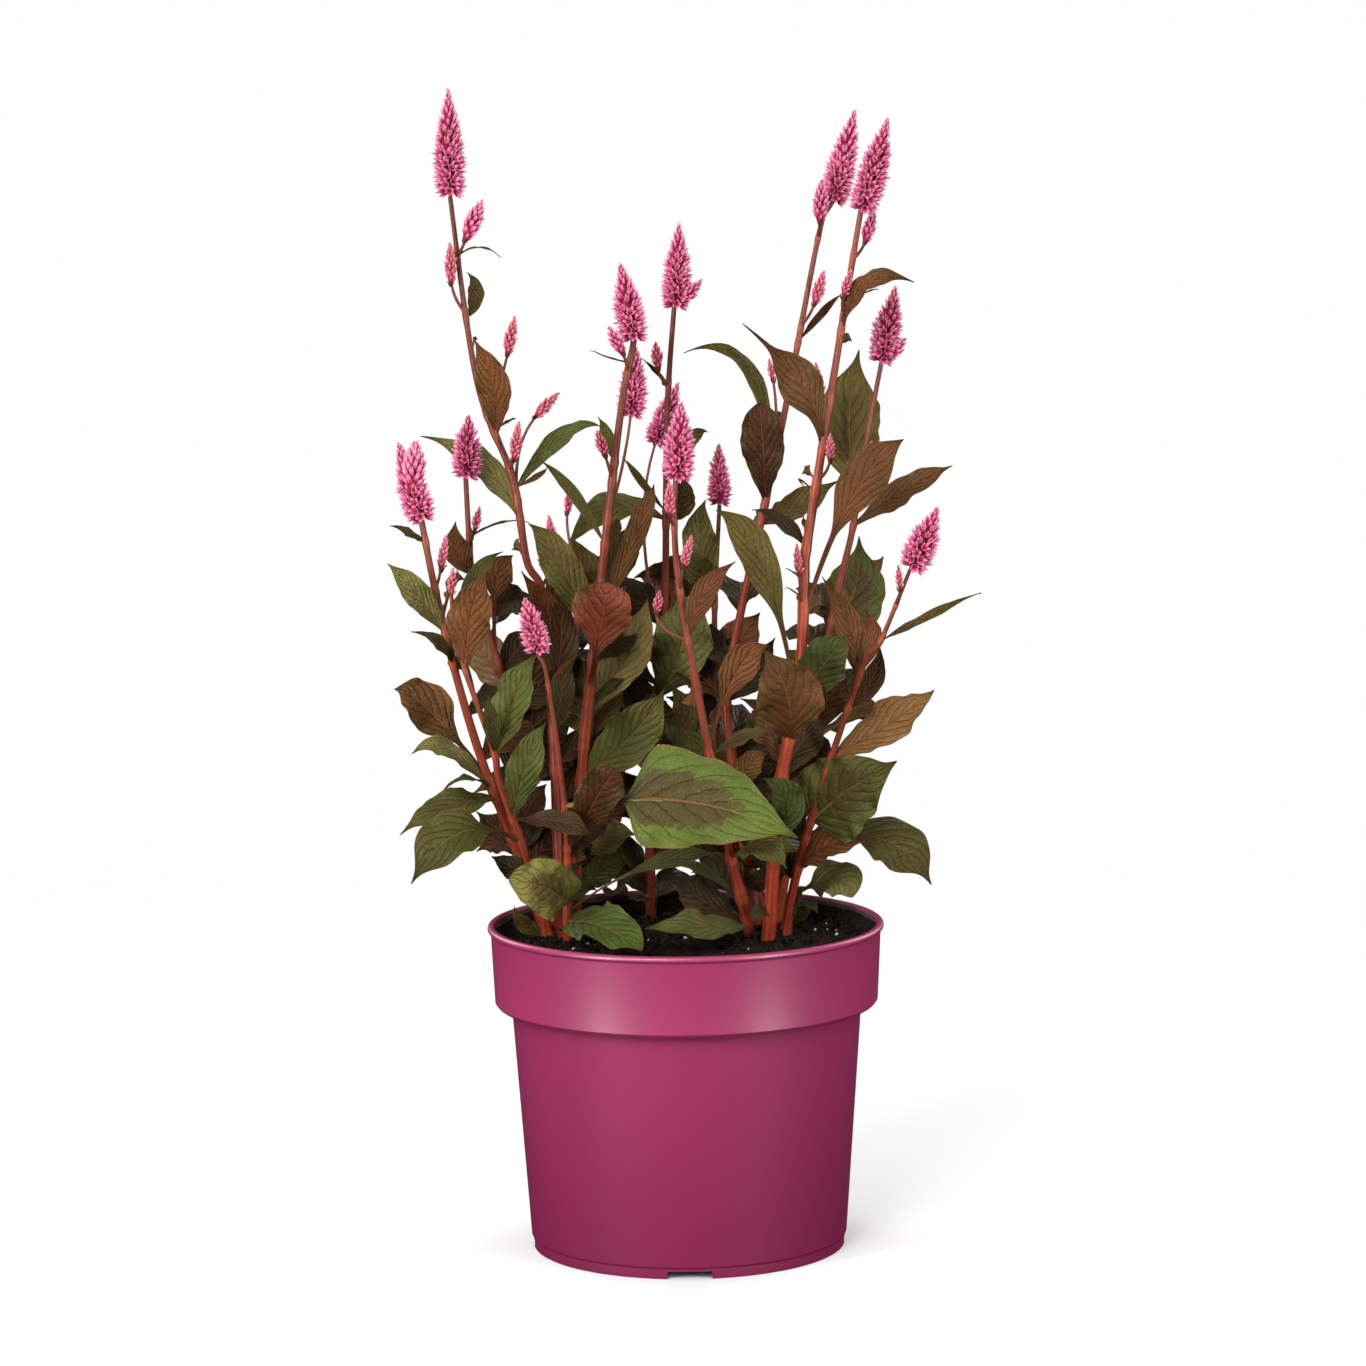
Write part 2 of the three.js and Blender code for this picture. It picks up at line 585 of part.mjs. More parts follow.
// ---- leaves: a thin arched blade, folded at the midrib, with waved edges
function leafBody(stem, { from, stalk, mid, tip, wide, face, cup }) {
  const midrib = through(pointAt(stem.path, from), vector(mid), vector(tip));
  const outline = wide < BROAD_FROM ? SLENDER : BROAD;
  const stations = outline.map(([share, width], i) => {
    const half = Math.max(width * wide / 2, TIP_HALF);
    const under = BLADE_THICK / 2 + RIB_DEPTH * (1 - share);
    const at = mix(stalk > SHORT_STALK ? stalk : 0, 1, share);
    return { at, half, under, lift: cup * half, wave: (i % 2 ? WAVE : -WAVE) * half };
  });
  if (stalk > SHORT_STALK) {
    const half = Math.min(STALK_RADIUS, 0.45 * wide);
    stations.unshift({ at: 0, half, under: half, lift: 0, wave: 0 });
  }
  const edge = BLADE_THICK / 2;
  const isNarrow = wide < NARROW_UNDER;
  const rings = stations.map(({ at, half, under, lift, wave }) => {
    const centre = midrib.getPoint(at);
    const along = midrib.getTangent(at);
    const across = along.clone().cross(vector(face)).normalize();
    const up = across.clone().cross(along);
    const point = (sideways, raised) => centre.clone()
      .addScaledVector(across, sideways)
      .addScaledVector(up, raised);
    if (isNarrow) {
      return [
        point(0, edge),
        point(half, lift + wave),
        point(0, -under),
        point(-half, lift - wave),
      ];
    }
    return [
      point(0, edge),
      point(half, lift + wave + edge),
      point(half, lift + wave - edge),
      point(0, -under),
      point(-half, lift - wave - edge),
      point(-half, lift - wave + edge),
    ];
  });
  return loft(rings, isNarrow ? [1, 2] : [2, 3]);
}

// ---- leafy stem: stem, stalks of its side spikes and leaves, grown together
function stalkBody(stem, { from, heads }) {
  const [base, tip] = heads[0].slice(0, 2).map(vector);
  const end = base.clone().addScaledVector(tip.clone().sub(base).normalize(), -STALK_GAP);
  return tube([pointAt(stem.path, from), end], [STALK_RADIUS, STALK_TOP], STALK_SIDES);
}

function stemBody(stem) {
  const stalks = stem.spikes.filter(({ from }) => from !== TOP);
  return join([
    stemTube(stem, 0),
    ...stalks.map((spikeOnStalk) => stalkBody(stem, spikeOnStalk)),
    ...stem.leaves.map((oneLeaf) => leafBody(stem, oneLeaf)),
  ]);
}

// ---- flower spike: florets stand out of the core, level at the foot, closing to a point on top
function outlineAt(share) {
  const above = Math.max(SPIKE_OUTLINE.findIndex(([at]) => at >= share), 1);
  const [low, high] = [SPIKE_OUTLINE[above - 1], SPIKE_OUTLINE[above]];
  return mix(low[1], high[1], (share - low[0]) / (high[0] - low[0]));
}

function headBody([base, tip, wide]) {
  const { rows, sides } = HEADS.find(({ under }) => wide < under);
  const start = vector(base);
  const axis = vector(tip).sub(start);
  const along = axis.clone().normalize();
  const side = vector([0, 1, 0]).cross(along).normalize();
  const front = along.clone().cross(side);
  const ring = (shareOf, radiusOf) => Array.from({ length: sides }, (_, k) => {
    const turn = 2 * Math.PI * k / sides;
    const share = shareOf(k);
    const radius = radiusOf(k, share) * outlineAt(share) * wide / 2;
    return start.clone()
      .addScaledVector(axis, share)
      .addScaledVector(side, radius * Math.cos(turn))
      .addScaledVector(front, radius * Math.sin(turn));
  });
  const rings = [];
  for (let row = 0; row < rows; row += 1) {
    const low = row / rows;
    const isTip = (k) => (k + row) % 2 === 0;
    const rise = mix(0.5, 1.25, low) / rows;
    rings.push(ring(() => low, () => CORE_SHARE));
    const floretTip = Math.min(low + rise, LAST_FLORET);
    rings.push(ring((k) => (isTip(k) ? floretTip : low + 0.5 / rows), (k) => (isTip(k) ? 1 : CORE_SHARE)));
  }
  rings.push(ring(() => 1, () => 1));
  return loft(rings);
}

// ---- the whole plant in its pot
const plant = new THREE.Group();
plant.add(mesh('pot', pot(), potPlastic));
plant.add(mesh('soil', soil(), pottingSoil));
stems.forEach((stem) => {
  plant.add(mesh(`stem_${stem.name}`, stemBody(stem), foliage));
  stem.spikes.forEach(({ name, heads }) => plant.add(mesh(name, join(heads.map(headBody)), floret)));
});

export default plant;
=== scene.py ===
import math
import random

import bpy
import numpy as np
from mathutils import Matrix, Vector, noise


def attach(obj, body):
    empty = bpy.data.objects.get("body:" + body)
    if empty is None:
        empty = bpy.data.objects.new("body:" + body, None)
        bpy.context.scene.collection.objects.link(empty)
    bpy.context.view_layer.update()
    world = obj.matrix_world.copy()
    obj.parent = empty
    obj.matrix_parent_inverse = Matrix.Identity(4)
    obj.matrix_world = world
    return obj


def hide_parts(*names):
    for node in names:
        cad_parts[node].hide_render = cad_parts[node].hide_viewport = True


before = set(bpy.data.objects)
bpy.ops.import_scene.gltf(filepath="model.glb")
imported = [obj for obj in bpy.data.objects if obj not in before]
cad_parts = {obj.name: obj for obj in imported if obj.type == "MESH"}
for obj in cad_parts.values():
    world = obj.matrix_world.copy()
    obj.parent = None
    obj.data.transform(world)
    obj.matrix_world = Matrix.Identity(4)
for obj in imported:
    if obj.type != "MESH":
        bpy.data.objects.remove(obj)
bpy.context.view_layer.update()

# ---------------------------------------------------------------- camera
# A long lens at about two metres, a little above the flowers' middle, looking slightly down.
CAMERA_PLACE = (0.00016, -2.2, 0.5467)
LOOK_DOWN = math.radians(7.12)
LENS_ROLL = math.radians(-0.7)
LENS_LENGTH, SENSOR_WIDTH = 122.6, 36

bpy.ops.object.camera_add(location=CAMERA_PLACE, rotation=(math.pi / 2 - LOOK_DOWN, 0, 0))
camera = bpy.context.object
camera.rotation_euler.rotate_axis("Z", LENS_ROLL)
camera.data.lens = LENS_LENGTH
camera.data.sensor_width = SENSOR_WIDTH
bpy.context.scene.camera = camera

# ---------------------------------------------------------------- room and light
# A white studio with a pale floor and backdrop and soft light from overhead. Two low soft boxes
# beside the lens draw the upright highlights on the pot, a high one on the left models the
# plant, and two behind it light the edges of the leaves.
FLOOR_RADIUS = 1.2
FADES_FROM, FADES_TO = 0.35, 0.9
BACKDROP_RADIUS = 9.0
PAPER_GREY = (0.53, 0.53, 0.53)
# brightness of the air above, level with the plant and below it
OVERHEAD, LEVEL, BELOW = 1.7, 0.5, 0.12
SOFT_BOXES_AIM = (0, 0, 0.25)
SOFT_BOXES = [
    # place, width, height, power
    ((-0.54, -0.52, 0.25), 0.09, 0.5, 5.6),
    ((0.55, -0.53, 0.25), 0.07, 0.5, 4.9),
    ((-0.7, -1.9, 1.3), 0.9, 0.9, 46.0),
    ((-1.6, 1.5, 1.2), 1.3, 1.3, 28.0),
    ((1.6, 1.5, 1.2), 1.3, 1.3, 28.0),
]


class Shade:
    """One socket of a material, or a number, so that shader maths reads as Python."""

    def __init__(self, tree, value):
        self.tree = tree
        self.value = value

    def of(self, value):
        """A number or colour to work with in the same material."""
        return Shade(self.tree, value)

    def node(self, kind, settings=None, out=0, **sockets):
        """A new node: its settings, its output used, and its sockets by name or by number."""
        made = self.tree.nodes.new(kind)
        for key, setting in (settings or {}).items():
            setattr(made, key, setting)
        for key, given in sockets.items():
            socket = made.inputs[int(key[1:]) if key[1:].isdigit() else key]
            given = given.value if isinstance(given, Shade) else given
            if isinstance(given, bpy.types.NodeSocket):
                self.tree.links.new(given, socket)
            elif isinstance(given, tuple) and len(given) == 3 and socket.type == "RGBA":
                socket.default_value = (*given, 1)
            else:
                socket.default_value = given
        return Shade(self.tree, made.outputs[out])

    def math(self, operation, *others):
        given = {f"i{k}": other for k, other in enumerate((self, *others))}
        return self.node("ShaderNodeMath", {"operation": operation}, **given)

    def __add__(self, other):
        return self.math("ADD", other)

    def __radd__(self, other):
        return self.math("ADD", other)

    def __sub__(self, other):
        return self.math("SUBTRACT", other)

    def __rsub__(self, other):
        return self.of(other).math("SUBTRACT", self)

    def __mul__(self, other):
        return self.math("MULTIPLY", other)

    def __rmul__(self, other):
        return self.math("MULTIPLY", other)

    def __pow__(self, other):
        return self.math("POWER", other)

    def __abs__(self):
        return self.math("ABSOLUTE")

    def sin(self):
        return self.math("SINE")

    def between(self, low, high):
        """0 below low, 1 above high, smooth between."""
        return self.node("ShaderNodeMapRange", {"interpolation_type": "SMOOTHSTEP"},
                         Value=self, i1=low, i2=high)

    def times(self, factor):
        """A colour or vector times a number."""
        return self.node("ShaderNodeVectorMath", {"operation": "SCALE"}, i0=self, Scale=factor)

    def mixed(self, other, share):
        """This colour with the other laid over it by the share."""
        return self.node("ShaderNodeMix", {"data_type": "RGBA"}, out=2,
                         i0=share, i6=self, i7=other)

    def stretched(self, scale):
        """This place with each axis scaled, under 1 to draw a pattern out."""
        return self.node("ShaderNodeMapping", i0=self, Scale=scale)

    def grain(self, scale, detail=3.0, rough=0.55):
        """Cloudy noise from 0 to 1, scale lumps a metre."""
        return self.node("ShaderNodeTexNoise", Vector=self, Scale=scale, Detail=detail,
                         Roughness=rough)

    def cells(self, scale, feature="F1"):
        """Distance to the middle of a pebble pattern's nearest cell, or to its edge."""
        return self.node("ShaderNodeTexVoronoi", {"feature": feature}, Vector=self, Scale=scale)

    def kept(self, name, out=2):
        """What the mesh keeps under the name: a number, or a colour from output 0."""
        return self.node("ShaderNodeAttribute", {"attribute_name": name}, out=out)

    def part(self, index):
        """One axis of a place: 0 for x, 1 for y, 2 for z."""
        return self.node("ShaderNodeSeparateXYZ", out=index, i0=self)

    def from_axis(self):
        """How far a place is from the upright line through the pot's middle."""
        return (self.part(0) ** 2 + self.part(1) ** 2) ** 0.5


def start_material(name):
    """A new material, its coordinates on the object, its own pattern map, and its shader."""
    material = bpy.data.materials.new(name)
    material.use_nodes = True
    tree = material.node_tree
    shader = tree.nodes["Principled BSDF"]
    place = Shade(tree, 0.0).node("ShaderNodeTexCoord", out=3)
    pattern = place.node("ShaderNodeTexCoord", out=2)
    return material, shader, place, pattern


def finish_material(shader, colour, rough, height=None, relief=0.0, strength=1.0, gloss=0.5):
    """Colour, roughness, gloss and a relief of so many metres into the shader."""
    shader.inputs["Specular IOR Level"].default_value = gloss
    tree = shader.id_data
    for socket, given in (("Base Color", colour), ("Roughness", rough)):
        if isinstance(given, Shade):
            tree.links.new(given.value, shader.inputs[socket])
        else:
            shader.inputs[socket].default_value = given
    if height is not None:
        bump = height.node("ShaderNodeBump", Height=height, Distance=relief, Strength=strength)
        tree.links.new(bump.value, shader.inputs["Normal"])


def deselect():
    bpy.ops.object.select_all(action="DESELECT")


def dress(piece, material):
    """The material on the whole piece."""
    piece.data.materials.clear()
    piece.data.materials.append(material)


deselect()
bpy.ops.mesh.primitive_circle_add(vertices=96, radius=FLOOR_RADIUS, fill_type="NGON")
floor = bpy.context.object
floor.name = "floor"
paper, paper_shader, place, _ = start_material("white paper")
finish_material(paper_shader, place.grain(3.0).mixed(PAPER_GREY, 0.97), 0.85)
faded = 1 - place.from_axis().between(FADES_FROM * FLOOR_RADIUS, FADES_TO * FLOOR_RADIUS)
paper.node_tree.links.new(faded.value, paper_shader.inputs["Alpha"])
dress(floor, paper)

deselect()
bpy.ops.mesh.primitive_uv_sphere_add(segments=48, ring_count=24, radius=BACKDROP_RADIUS)
backdrop = bpy.context.object
backdrop.name = "backdrop"
white, white_shader, _, _ = start_material("lit white")
white_shader.inputs["Base Color"].default_value = (0, 0, 0, 1)
white_shader.inputs["Specular IOR Level"].default_value = 0
white_shader.inputs["Emission Color"].default_value = (1, 1, 1, 1)
white_shader.inputs["Emission Strength"].default_value = 1
dress(backdrop, white)
# the backdrop and floor don't light the plant, so they lay no grey veil over it
for sheet in (backdrop, floor):
    sheet.visible_glossy = False
    sheet.visible_diffuse = False
backdrop.visible_shadow = False

room = bpy.data.worlds.new("studio light")
room.use_nodes = True
air = room.node_tree.nodes["Background"]
upward = Shade(room.node_tree, 0.0).node("ShaderNodeTexCoord", out=0).part(2)
light = upward.math("MAXIMUM", 0.0) * (OVERHEAD - LEVEL) + LEVEL
light = light - (1 - upward.between(-0.25, 0.0)) * (LEVEL - BELOW)
room.node_tree.links.new(light.value, air.inputs["Strength"])
air.inputs["Color"].default_value = (1, 1, 1, 1)
room.cycles_visibility.glossy = False
bpy.context.scene.world = room
bpy.context.scene.view_settings.view_transform = "Standard"

for where, width, height, power in SOFT_BOXES:
    bpy.ops.object.light_add(type="AREA", location=where)
    box = bpy.context.object
    box.data.shape = "RECTANGLE"
    box.data.size = width
    box.data.size_y = height
    box.data.energy = power
    box.visible_camera = False
    aim = Vector(SOFT_BOXES_AIM) - box.location
    box.rotation_euler = aim.to_track_quat("-Z", "Y").to_euler()

# ---------------------------------------------------------------- pot
# A round nursery pot, injection moulded in magenta polypropylene with a satin skin. Its rim
# band is stepped out so that pots stack, and its foot ring has four notches for water.
POT_SIDES = 128
FLOOR_UNDER = 0.0034
# the ledge inside under the rim band, the band's inner radius there and how it widens upwards
LEDGE = 0.1196
WALL_AT_LEDGE = 0.0903
WALL_SLOPE = 0.0432
POT_OUTLINE = [
    # radius, height, from under the floor, over the rim and down to the floor inside
    (0.0730, FLOOR_UNDER), (0.0730, 0.0000), (0.0752, 0.0000), (0.0752, 0.0050), (0.0760, 0.0056),
    (0.0840, 0.1180), (0.0907, 0.1180), (0.0919, LEDGE), (0.0935, 0.1534), (0.0950, 0.1542),
    (0.0950, 0.1557), (0.0941, 0.1566), (0.0919, 0.1566), (WALL_AT_LEDGE, LEDGE),
    (0.0824, LEDGE), (0.0744, 0.0050),
]
EDGE_ROUND = 0.0005
NOTCH_WIDE = 0.021
NOTCH_HIGH = 0.0037
NOTCH_THROUGH = 0.012
NOTCH_RING = 0.0745
DRAIN_RADIUS = 0.005
DRAIN_RING = 0.056
DRAIN_THROUGH = 0.01
MAGENTA = (0.202, 0.017, 0.064)
MAGENTA_CLOUD = (0.175, 0.012, 0.054)
# painted shade for the darker lower part of the pot
MAGENTA_PAINTED_SHADE = (0.125, 0.006, 0.038)
# peat dust and painted shade on the inside of the rim band
PEAT_DUST_AND_SHADE = (0.016, 0.004, 0.005)


def turned(name, outline, sides):
    """A round shell drawn up from its first ring, ring by ring, and closed at both ends."""
    deselect()
    radius, height = outline[0]
    bpy.ops.mesh.primitive_circle_add(vertices=sides, radius=radius, location=(0, 0, height),
                                      fill_type="NGON")
    shell = bpy.context.object
    shell.name = name
    bpy.ops.object.transform_apply()
    bpy.ops.object.mode_set(mode="EDIT")
    bpy.ops.mesh.select_all(action="SELECT")
    bpy.ops.mesh.delete(type="ONLY_FACE")
    bpy.ops.mesh.select_all(action="SELECT")
    for next_radius, next_height in outline[1:]:
        rise = (0, 0, next_height - height)
        bpy.ops.mesh.extrude_region_move(TRANSFORM_OT_translate={"value": rise})
        share = next_radius / radius
        bpy.ops.transform.resize(value=(share, share, 1), center_override=(0, 0, 0))
        radius, height = next_radius, next_height
    bpy.ops.mesh.edge_face_add()
    bpy.ops.mesh.select_all(action="DESELECT")
    bpy.ops.mesh.select_non_manifold()
    bpy.ops.mesh.edge_face_add()
    bpy.ops.mesh.select_all(action="SELECT")
    bpy.ops.mesh.normals_make_consistent(inside=False)
    bpy.ops.object.mode_set(mode="OBJECT")
    return shell


def apply_modifier(piece, kind, **settings):
    bpy.context.view_layer.objects.active = piece
    modifier = piece.modifiers.new(kind.lower(), kind)
    for key, setting in settings.items():
        setattr(modifier, key, setting)
    bpy.ops.object.modifier_apply(modifier=modifier.name)


def smooth(piece, degrees):
    """Smooth shading of the piece, but for edges that turn by more."""
    deselect()
    piece.select_set(True)
    bpy.context.view_layer.objects.active = piece
    bpy.ops.object.shade_smooth_by_angle(angle=math.radians(degrees))


def settle(piece, *nodes, slot=None):
    """The piece rides on the plant's one body and stands for the nodes."""
    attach(piece, "root")
    if nodes:
        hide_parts(*nodes)


def cut_out(piece, cutter):
    apply_modifier(piece, "BOOLEAN", object=cutter, operation="DIFFERENCE", solver="EXACT")
    bpy.data.objects.remove(cutter)


pot = turned("plant_pot", POT_OUTLINE, POT_SIDES)
apply_modifier(pot, "BEVEL", width=EDGE_ROUND, segments=2, limit_method="ANGLE",
               angle_limit=math.radians(35))
for quarter in range(4):
    turn = quarter * math.pi / 2
    deselect()
    bpy.ops.mesh.primitive_cube_add(
        size=1, scale=(NOTCH_THROUGH, NOTCH_WIDE, 2 * NOTCH_HIGH), rotation=(0, 0, turn),
        location=(NOTCH_RING * math.cos(turn), NOTCH_RING * math.sin(turn), 0))
    cut_out(pot, bpy.context.object)
for drain in range(6):
    turn = (drain + 0.5) * math.pi / 3
    deselect()
    bpy.ops.mesh.primitive_cylinder_add(
        vertices=32, radius=DRAIN_RADIUS, depth=DRAIN_THROUGH,
        location=(DRAIN_RING * math.cos(turn), DRAIN_RING * math.sin(turn), FLOOR_UNDER))
    cut_out(pot, bpy.context.object)
smooth(pot, 30)

plastic, shader, place, _ = start_material("magenta polypropylene")
clouds = place.stretched((1, 1, 0.35)).grain(14.0)
specks = place.grain(900.0, 2.0)
flow = place.stretched((1, 1, 0.04)).grain(60.0)
skin = place.of(MAGENTA).mixed(MAGENTA_CLOUD, clouds.between(0.35, 0.7) * 0.5)
# the inside of the rim band is darkened up to a little under the lip: dusty with peat, and painted
# shade where the plant shades it
rise = place.part(2)
from_wall = place.from_axis() - (rise - LEDGE) * WALL_SLOPE - WALL_AT_LEDGE
inside = 1 - from_wall.between(0.0006, 0.0010)
dusted_and_shaded = inside * rise.between(0.118, 0.12) * (1 - rise.between(0.1545, 0.156))
skin = skin.mixed(PEAT_DUST_AND_SHADE, dusted_and_shaded * (0.8 + clouds * 0.3))
# painted shade: the pot's colour darkens towards its foot
skin = skin.mixed(MAGENTA_PAINTED_SHADE, (1 - rise.between(0.0, 0.115)) * 0.75)
finish_material(shader, skin, 0.33 + clouds * 0.06 + specks * 0.05 + dusted_and_shaded * 0.5,
                specks * 0.4 + flow * 0.6, 0.00012, 0.5, gloss=0.8)
dress(pot, plastic)
settle(pot, "pot", slot="pot")

# ---------------------------------------------------------------- potting soil
# A dark crumbly mix of peat and fine bark with white perlite, heaped a little round the
# stems, a finger's width below the rim.
SOIL_TOP = 0.145
# radius and height, from the pot's floor up its wall, over the ledge and to the soil's edge
SOIL_OUTLINE = [(0.0741, 0.0053), (0.0821, 0.1199), (0.0900, 0.1199), (0.0912, 0.1440)]
SOIL_SIDES, SOIL_RINGS = 120, 34
CRUMBS, CRUMB_SIZES = 2600, (0.0005, 0.0026)
PEAT = (0.0060, 0.0034, 0.0022)
PEAT_FIBRE = (0.030, 0.014, 0.007)
BARK_CHIP = (0.09, 0.055, 0.032)


def heaped(x, y):
    """Height of the soil over its level, in metres: low heaps, lumps and small lumps."""
    u, v = x * 1000, y * 1000
    wide = 1.6 * math.sin(u / 13 + 1) * math.cos(v / 11) + 0.9 * math.sin((u + 2 * v) / 9)
    lumps = 2.6 * noise.noise((x * 95, y * 95, 0.3)) + 1.3 * noise.noise((x * 260, y * 260, 4.1))
    return 0.001 * (wide + lumps)


edge = SOIL_OUTLINE[-1][0]
inward = [(edge * (1 - k / SOIL_RINGS), SOIL_TOP) for k in range(SOIL_RINGS)]
soil = turned("potting_soil", SOIL_OUTLINE + inward, SOIL_SIDES)
for vertex in soil.data.vertices:
    if vertex.co.z > SOIL_TOP - 0.0001:
        vertex.co.z += heaped(vertex.co.x, vertex.co.y)

draw = random.Random(11)


def crumb_shapes(name, count, sharp):
    """A few rough grains, each knocked out of a small ball."""
    shapes = []
    for k in range(count):
        deselect()
        bpy.ops.mesh.primitive_ico_sphere_add(subdivisions=1, radius=1)
        grain = bpy.context.object
        grain.name = f"{name}_{k}"
        for vertex in grain.data.vertices:
            vertex.co *= 1 + sharp * draw.uniform(-1, 1)
        shapes.append(grain)
    return shapes


def put_away(*patterns):
    """Patterns are there to be copied only, so they leave the scene."""
    for one in patterns:
        bpy.data.objects.remove(one)


def joined(parts, name):
    """The parts made one object."""
    deselect()
    for one in parts:
        one.select_set(True)
    bpy.context.view_layer.objects.active = parts[0]
    bpy.ops.object.join()
    whole = bpy.context.object
    whole.name = name
    whole.data.name = name
    bpy.ops.object.transform_apply()
    return whole


def strewn_over_soil(shapes, count, sizes, raised):
    """Copies of the shapes on the soil, most of them small, raised by a share of their size."""
    small, large = sizes
    strewn = []
    for _ in range(count):
        radius = (edge - 0.002) * math.sqrt(draw.random())
        turn = draw.uniform(0, 2 * math.pi)
        x, y = radius * math.cos(turn), radius * math.sin(turn)
        size = small + (large - small) * draw.random() ** 2.2
        grain = draw.choice(shapes).copy()
        grain.data = grain.data.copy()
        grain.location = (x, y, SOIL_TOP + heaped(x, y) + size * raised)
        grain.rotation_euler = [draw.uniform(0, 6.28) for _ in range(3)]
        grain.scale = (size * draw.uniform(0.7, 1.5), size * draw.uniform(0.7, 1.2), size * 0.8)
        bpy.context.collection.objects.link(grain)
        strewn.append(grain)
    return strewn


crumb_patterns = crumb_shapes("crumb", 5, 0.3)
crumbs = strewn_over_soil(crumb_patterns, CRUMBS, CRUMB_SIZES, 0.25)
soil = joined([soil] + crumbs, "potting_soil")
put_away(*crumb_patterns)

peat, shader, place, _ = start_material("peat mix")
lumps = place.cells(420.0)
fibres = place.stretched((1, 0.25, 1)).grain(900.0)
dark = place.of(PEAT).mixed(PEAT_FIBRE, fibres.between(0.52, 0.72) * 0.7)
dark = dark.mixed(BARK_CHIP, place.grain(1500.0).between(0.63, 0.7))
finish_material(shader, dark, 0.92 - fibres * 0.15, lumps + fibres, 0.0012, gloss=0.12)
dress(soil, peat)
settle(soil, "soil", slot="soil")

# ---------------------------------------------------------------- perlite
# White grains of expanded volcanic glass, mixed into the peat to keep it open. Those on top
# lie half sunk in it as bright crumbs.
PERLITE_GRAINS, PERLITE_SIZES = 120, (0.0003, 0.0012)
PERLITE_WHITE = (0.50, 0.48, 0.44)
PERLITE_PORE = (0.22, 0.19, 0.16)

perlite_patterns = crumb_shapes("perlite", 4, 0.32)
grains = strewn_over_soil(perlite_patterns, PERLITE_GRAINS, PERLITE_SIZES, 0.3)
perlite = joined(grains, "perlite")
put_away(*perlite_patterns)

white_grit, shader, place, _ = start_material("perlite")
pores = place.grain(2500.0)
pale = place.of(PERLITE_WHITE).mixed(PERLITE_PORE, pores.between(0.55, 0.75) * 0.8)
finish_material(shader, pale, 0.9, pores, 0.0003)
dress(perlite, white_grit)
settle(perlite, slot="soil")

# ---------------------------------------------------------------- film of peat and painted shade
# Fine peat, splashed up by watering, clings to the inside of the rim band just above the soil,
# and the dark ring also paints the shade that the plant casts there. It is a thin ring that lies
# on the wall, ragged along its top.
FILM_LOW, FILM_HIGH = 0.1430, 0.1538
FILM_MIDDLE = (FILM_LOW + FILM_HIGH) / 2
FILM_THICK = 0.0002
FILM_OFF_WALL = 0.00004
FILM_SAGS, FILM_FRAYS = 0.0022, 0.0008


def wall_radius(height):
    """The pot's inner radius near its rim, less a hair."""
    return WALL_AT_LEDGE - FILM_OFF_WALL + WALL_SLOPE * (height - LEDGE)


deselect()
bpy.ops.mesh.primitive_cone_add(
    vertices=240, radius1=wall_radius(FILM_LOW), radius2=wall_radius(FILM_HIGH),
    depth=FILM_HIGH - FILM_LOW, end_fill_type="NOTHING", location=(0, 0, FILM_MIDDLE))
film = bpy.context.object
film.name = "peat_film_and_shade"
bpy.ops.object.transform_apply()
for vertex in film.data.vertices:
    if vertex.co.z > FILM_MIDDLE:
        turn = math.atan2(vertex.co.y, vertex.co.x)
        round_pot = Vector((math.cos(turn), math.sin(turn), 0))
        vertex.co.z -= FILM_SAGS * abs(noise.noise(3 * round_pot + Vector((0, 0, 0.5))))
        vertex.co.z -= FILM_FRAYS * abs(noise.noise(14 * round_pot + Vector((0, 0, 2))))
        radius = wall_radius(vertex.co.z)
        vertex.co.x, vertex.co.y = radius * math.cos(turn), radius * math.sin(turn)
apply_modifier(film, "SOLIDIFY", thickness=FILM_THICK, offset=-1)
dress(film, peat)
settle(film, slot="soil")

# ---------------------------------------------------------------- leafy stems
# Each stem is one ribbed, red-brown shoot that stands in the soil and carries its leaves and
# the thin stalks of its side flowers. Leaves are wavy and pointed, with sunken veins, olive to
# bronze on top and coppery underneath.

# lengths of the plant are in millimetres
MM = 0.001
# a stem's foot in the soil, the swelling at each knot, and the stalk of a side flower
STEM_DEPTH = 22
STEM_STEPS = 260
KNOT_SWELLS, KNOT_HALF = 0.28, 2.0
STALK_RADIUS, STALK_STEPS = 0.75, 30
BRACT_WIDE = 1.3
STUB_RADIUS, STUB_STEPS = 1.7, 20
# half widths of a blade from its foot to its tip, as shares of the widest, for each leaf form
BROAD = [(0, 0.16), (0.08, 0.36), (0.18, 0.70), (0.32, 0.95), (0.44, 1), (0.58, 0.94),
         (0.70, 0.74), (0.80, 0.42), (0.87, 0.19), (0.92, 0.09), (1, 0.015)]
SLENDER = [(0, 0.16), (0.10, 0.38), (0.25, 0.80), (0.42, 1), (0.58, 0.94), (0.73, 0.66),
           (0.85, 0.30), (0.92, 0.12), (1, 0.015)]
OVATE = [(0, 0.12), (0.02, 0.52), (0.06, 0.86), (0.13, 1), (0.25, 1), (0.40, 0.92),
         (0.55, 0.76), (0.70, 0.52), (0.82, 0.28), (0.90, 0.10), (1, 0.015)]
OBOVATE = [(0, 0.10), (0.10, 0.28), (0.25, 0.60), (0.42, 0.90), (0.58, 1), (0.74, 0.96),
           (0.86, 0.76), (0.95, 0.40), (1, 0.05)]
ROUNDED = [(0, 0.12), (0.05, 0.50), (0.14, 0.84), (0.28, 1), (0.50, 1), (0.68, 0.90),
           (0.82, 0.68), (0.93, 0.36), (1, 0.05)]
DRIPPING = [(0, 0.12), (0.14, 0.20), (0.25, 0.42), (0.34, 0.76), (0.45, 0.97), (0.56, 0.86),
            (0.66, 0.58), (0.73, 0.26), (0.79, 0.11), (1, 0.02)]
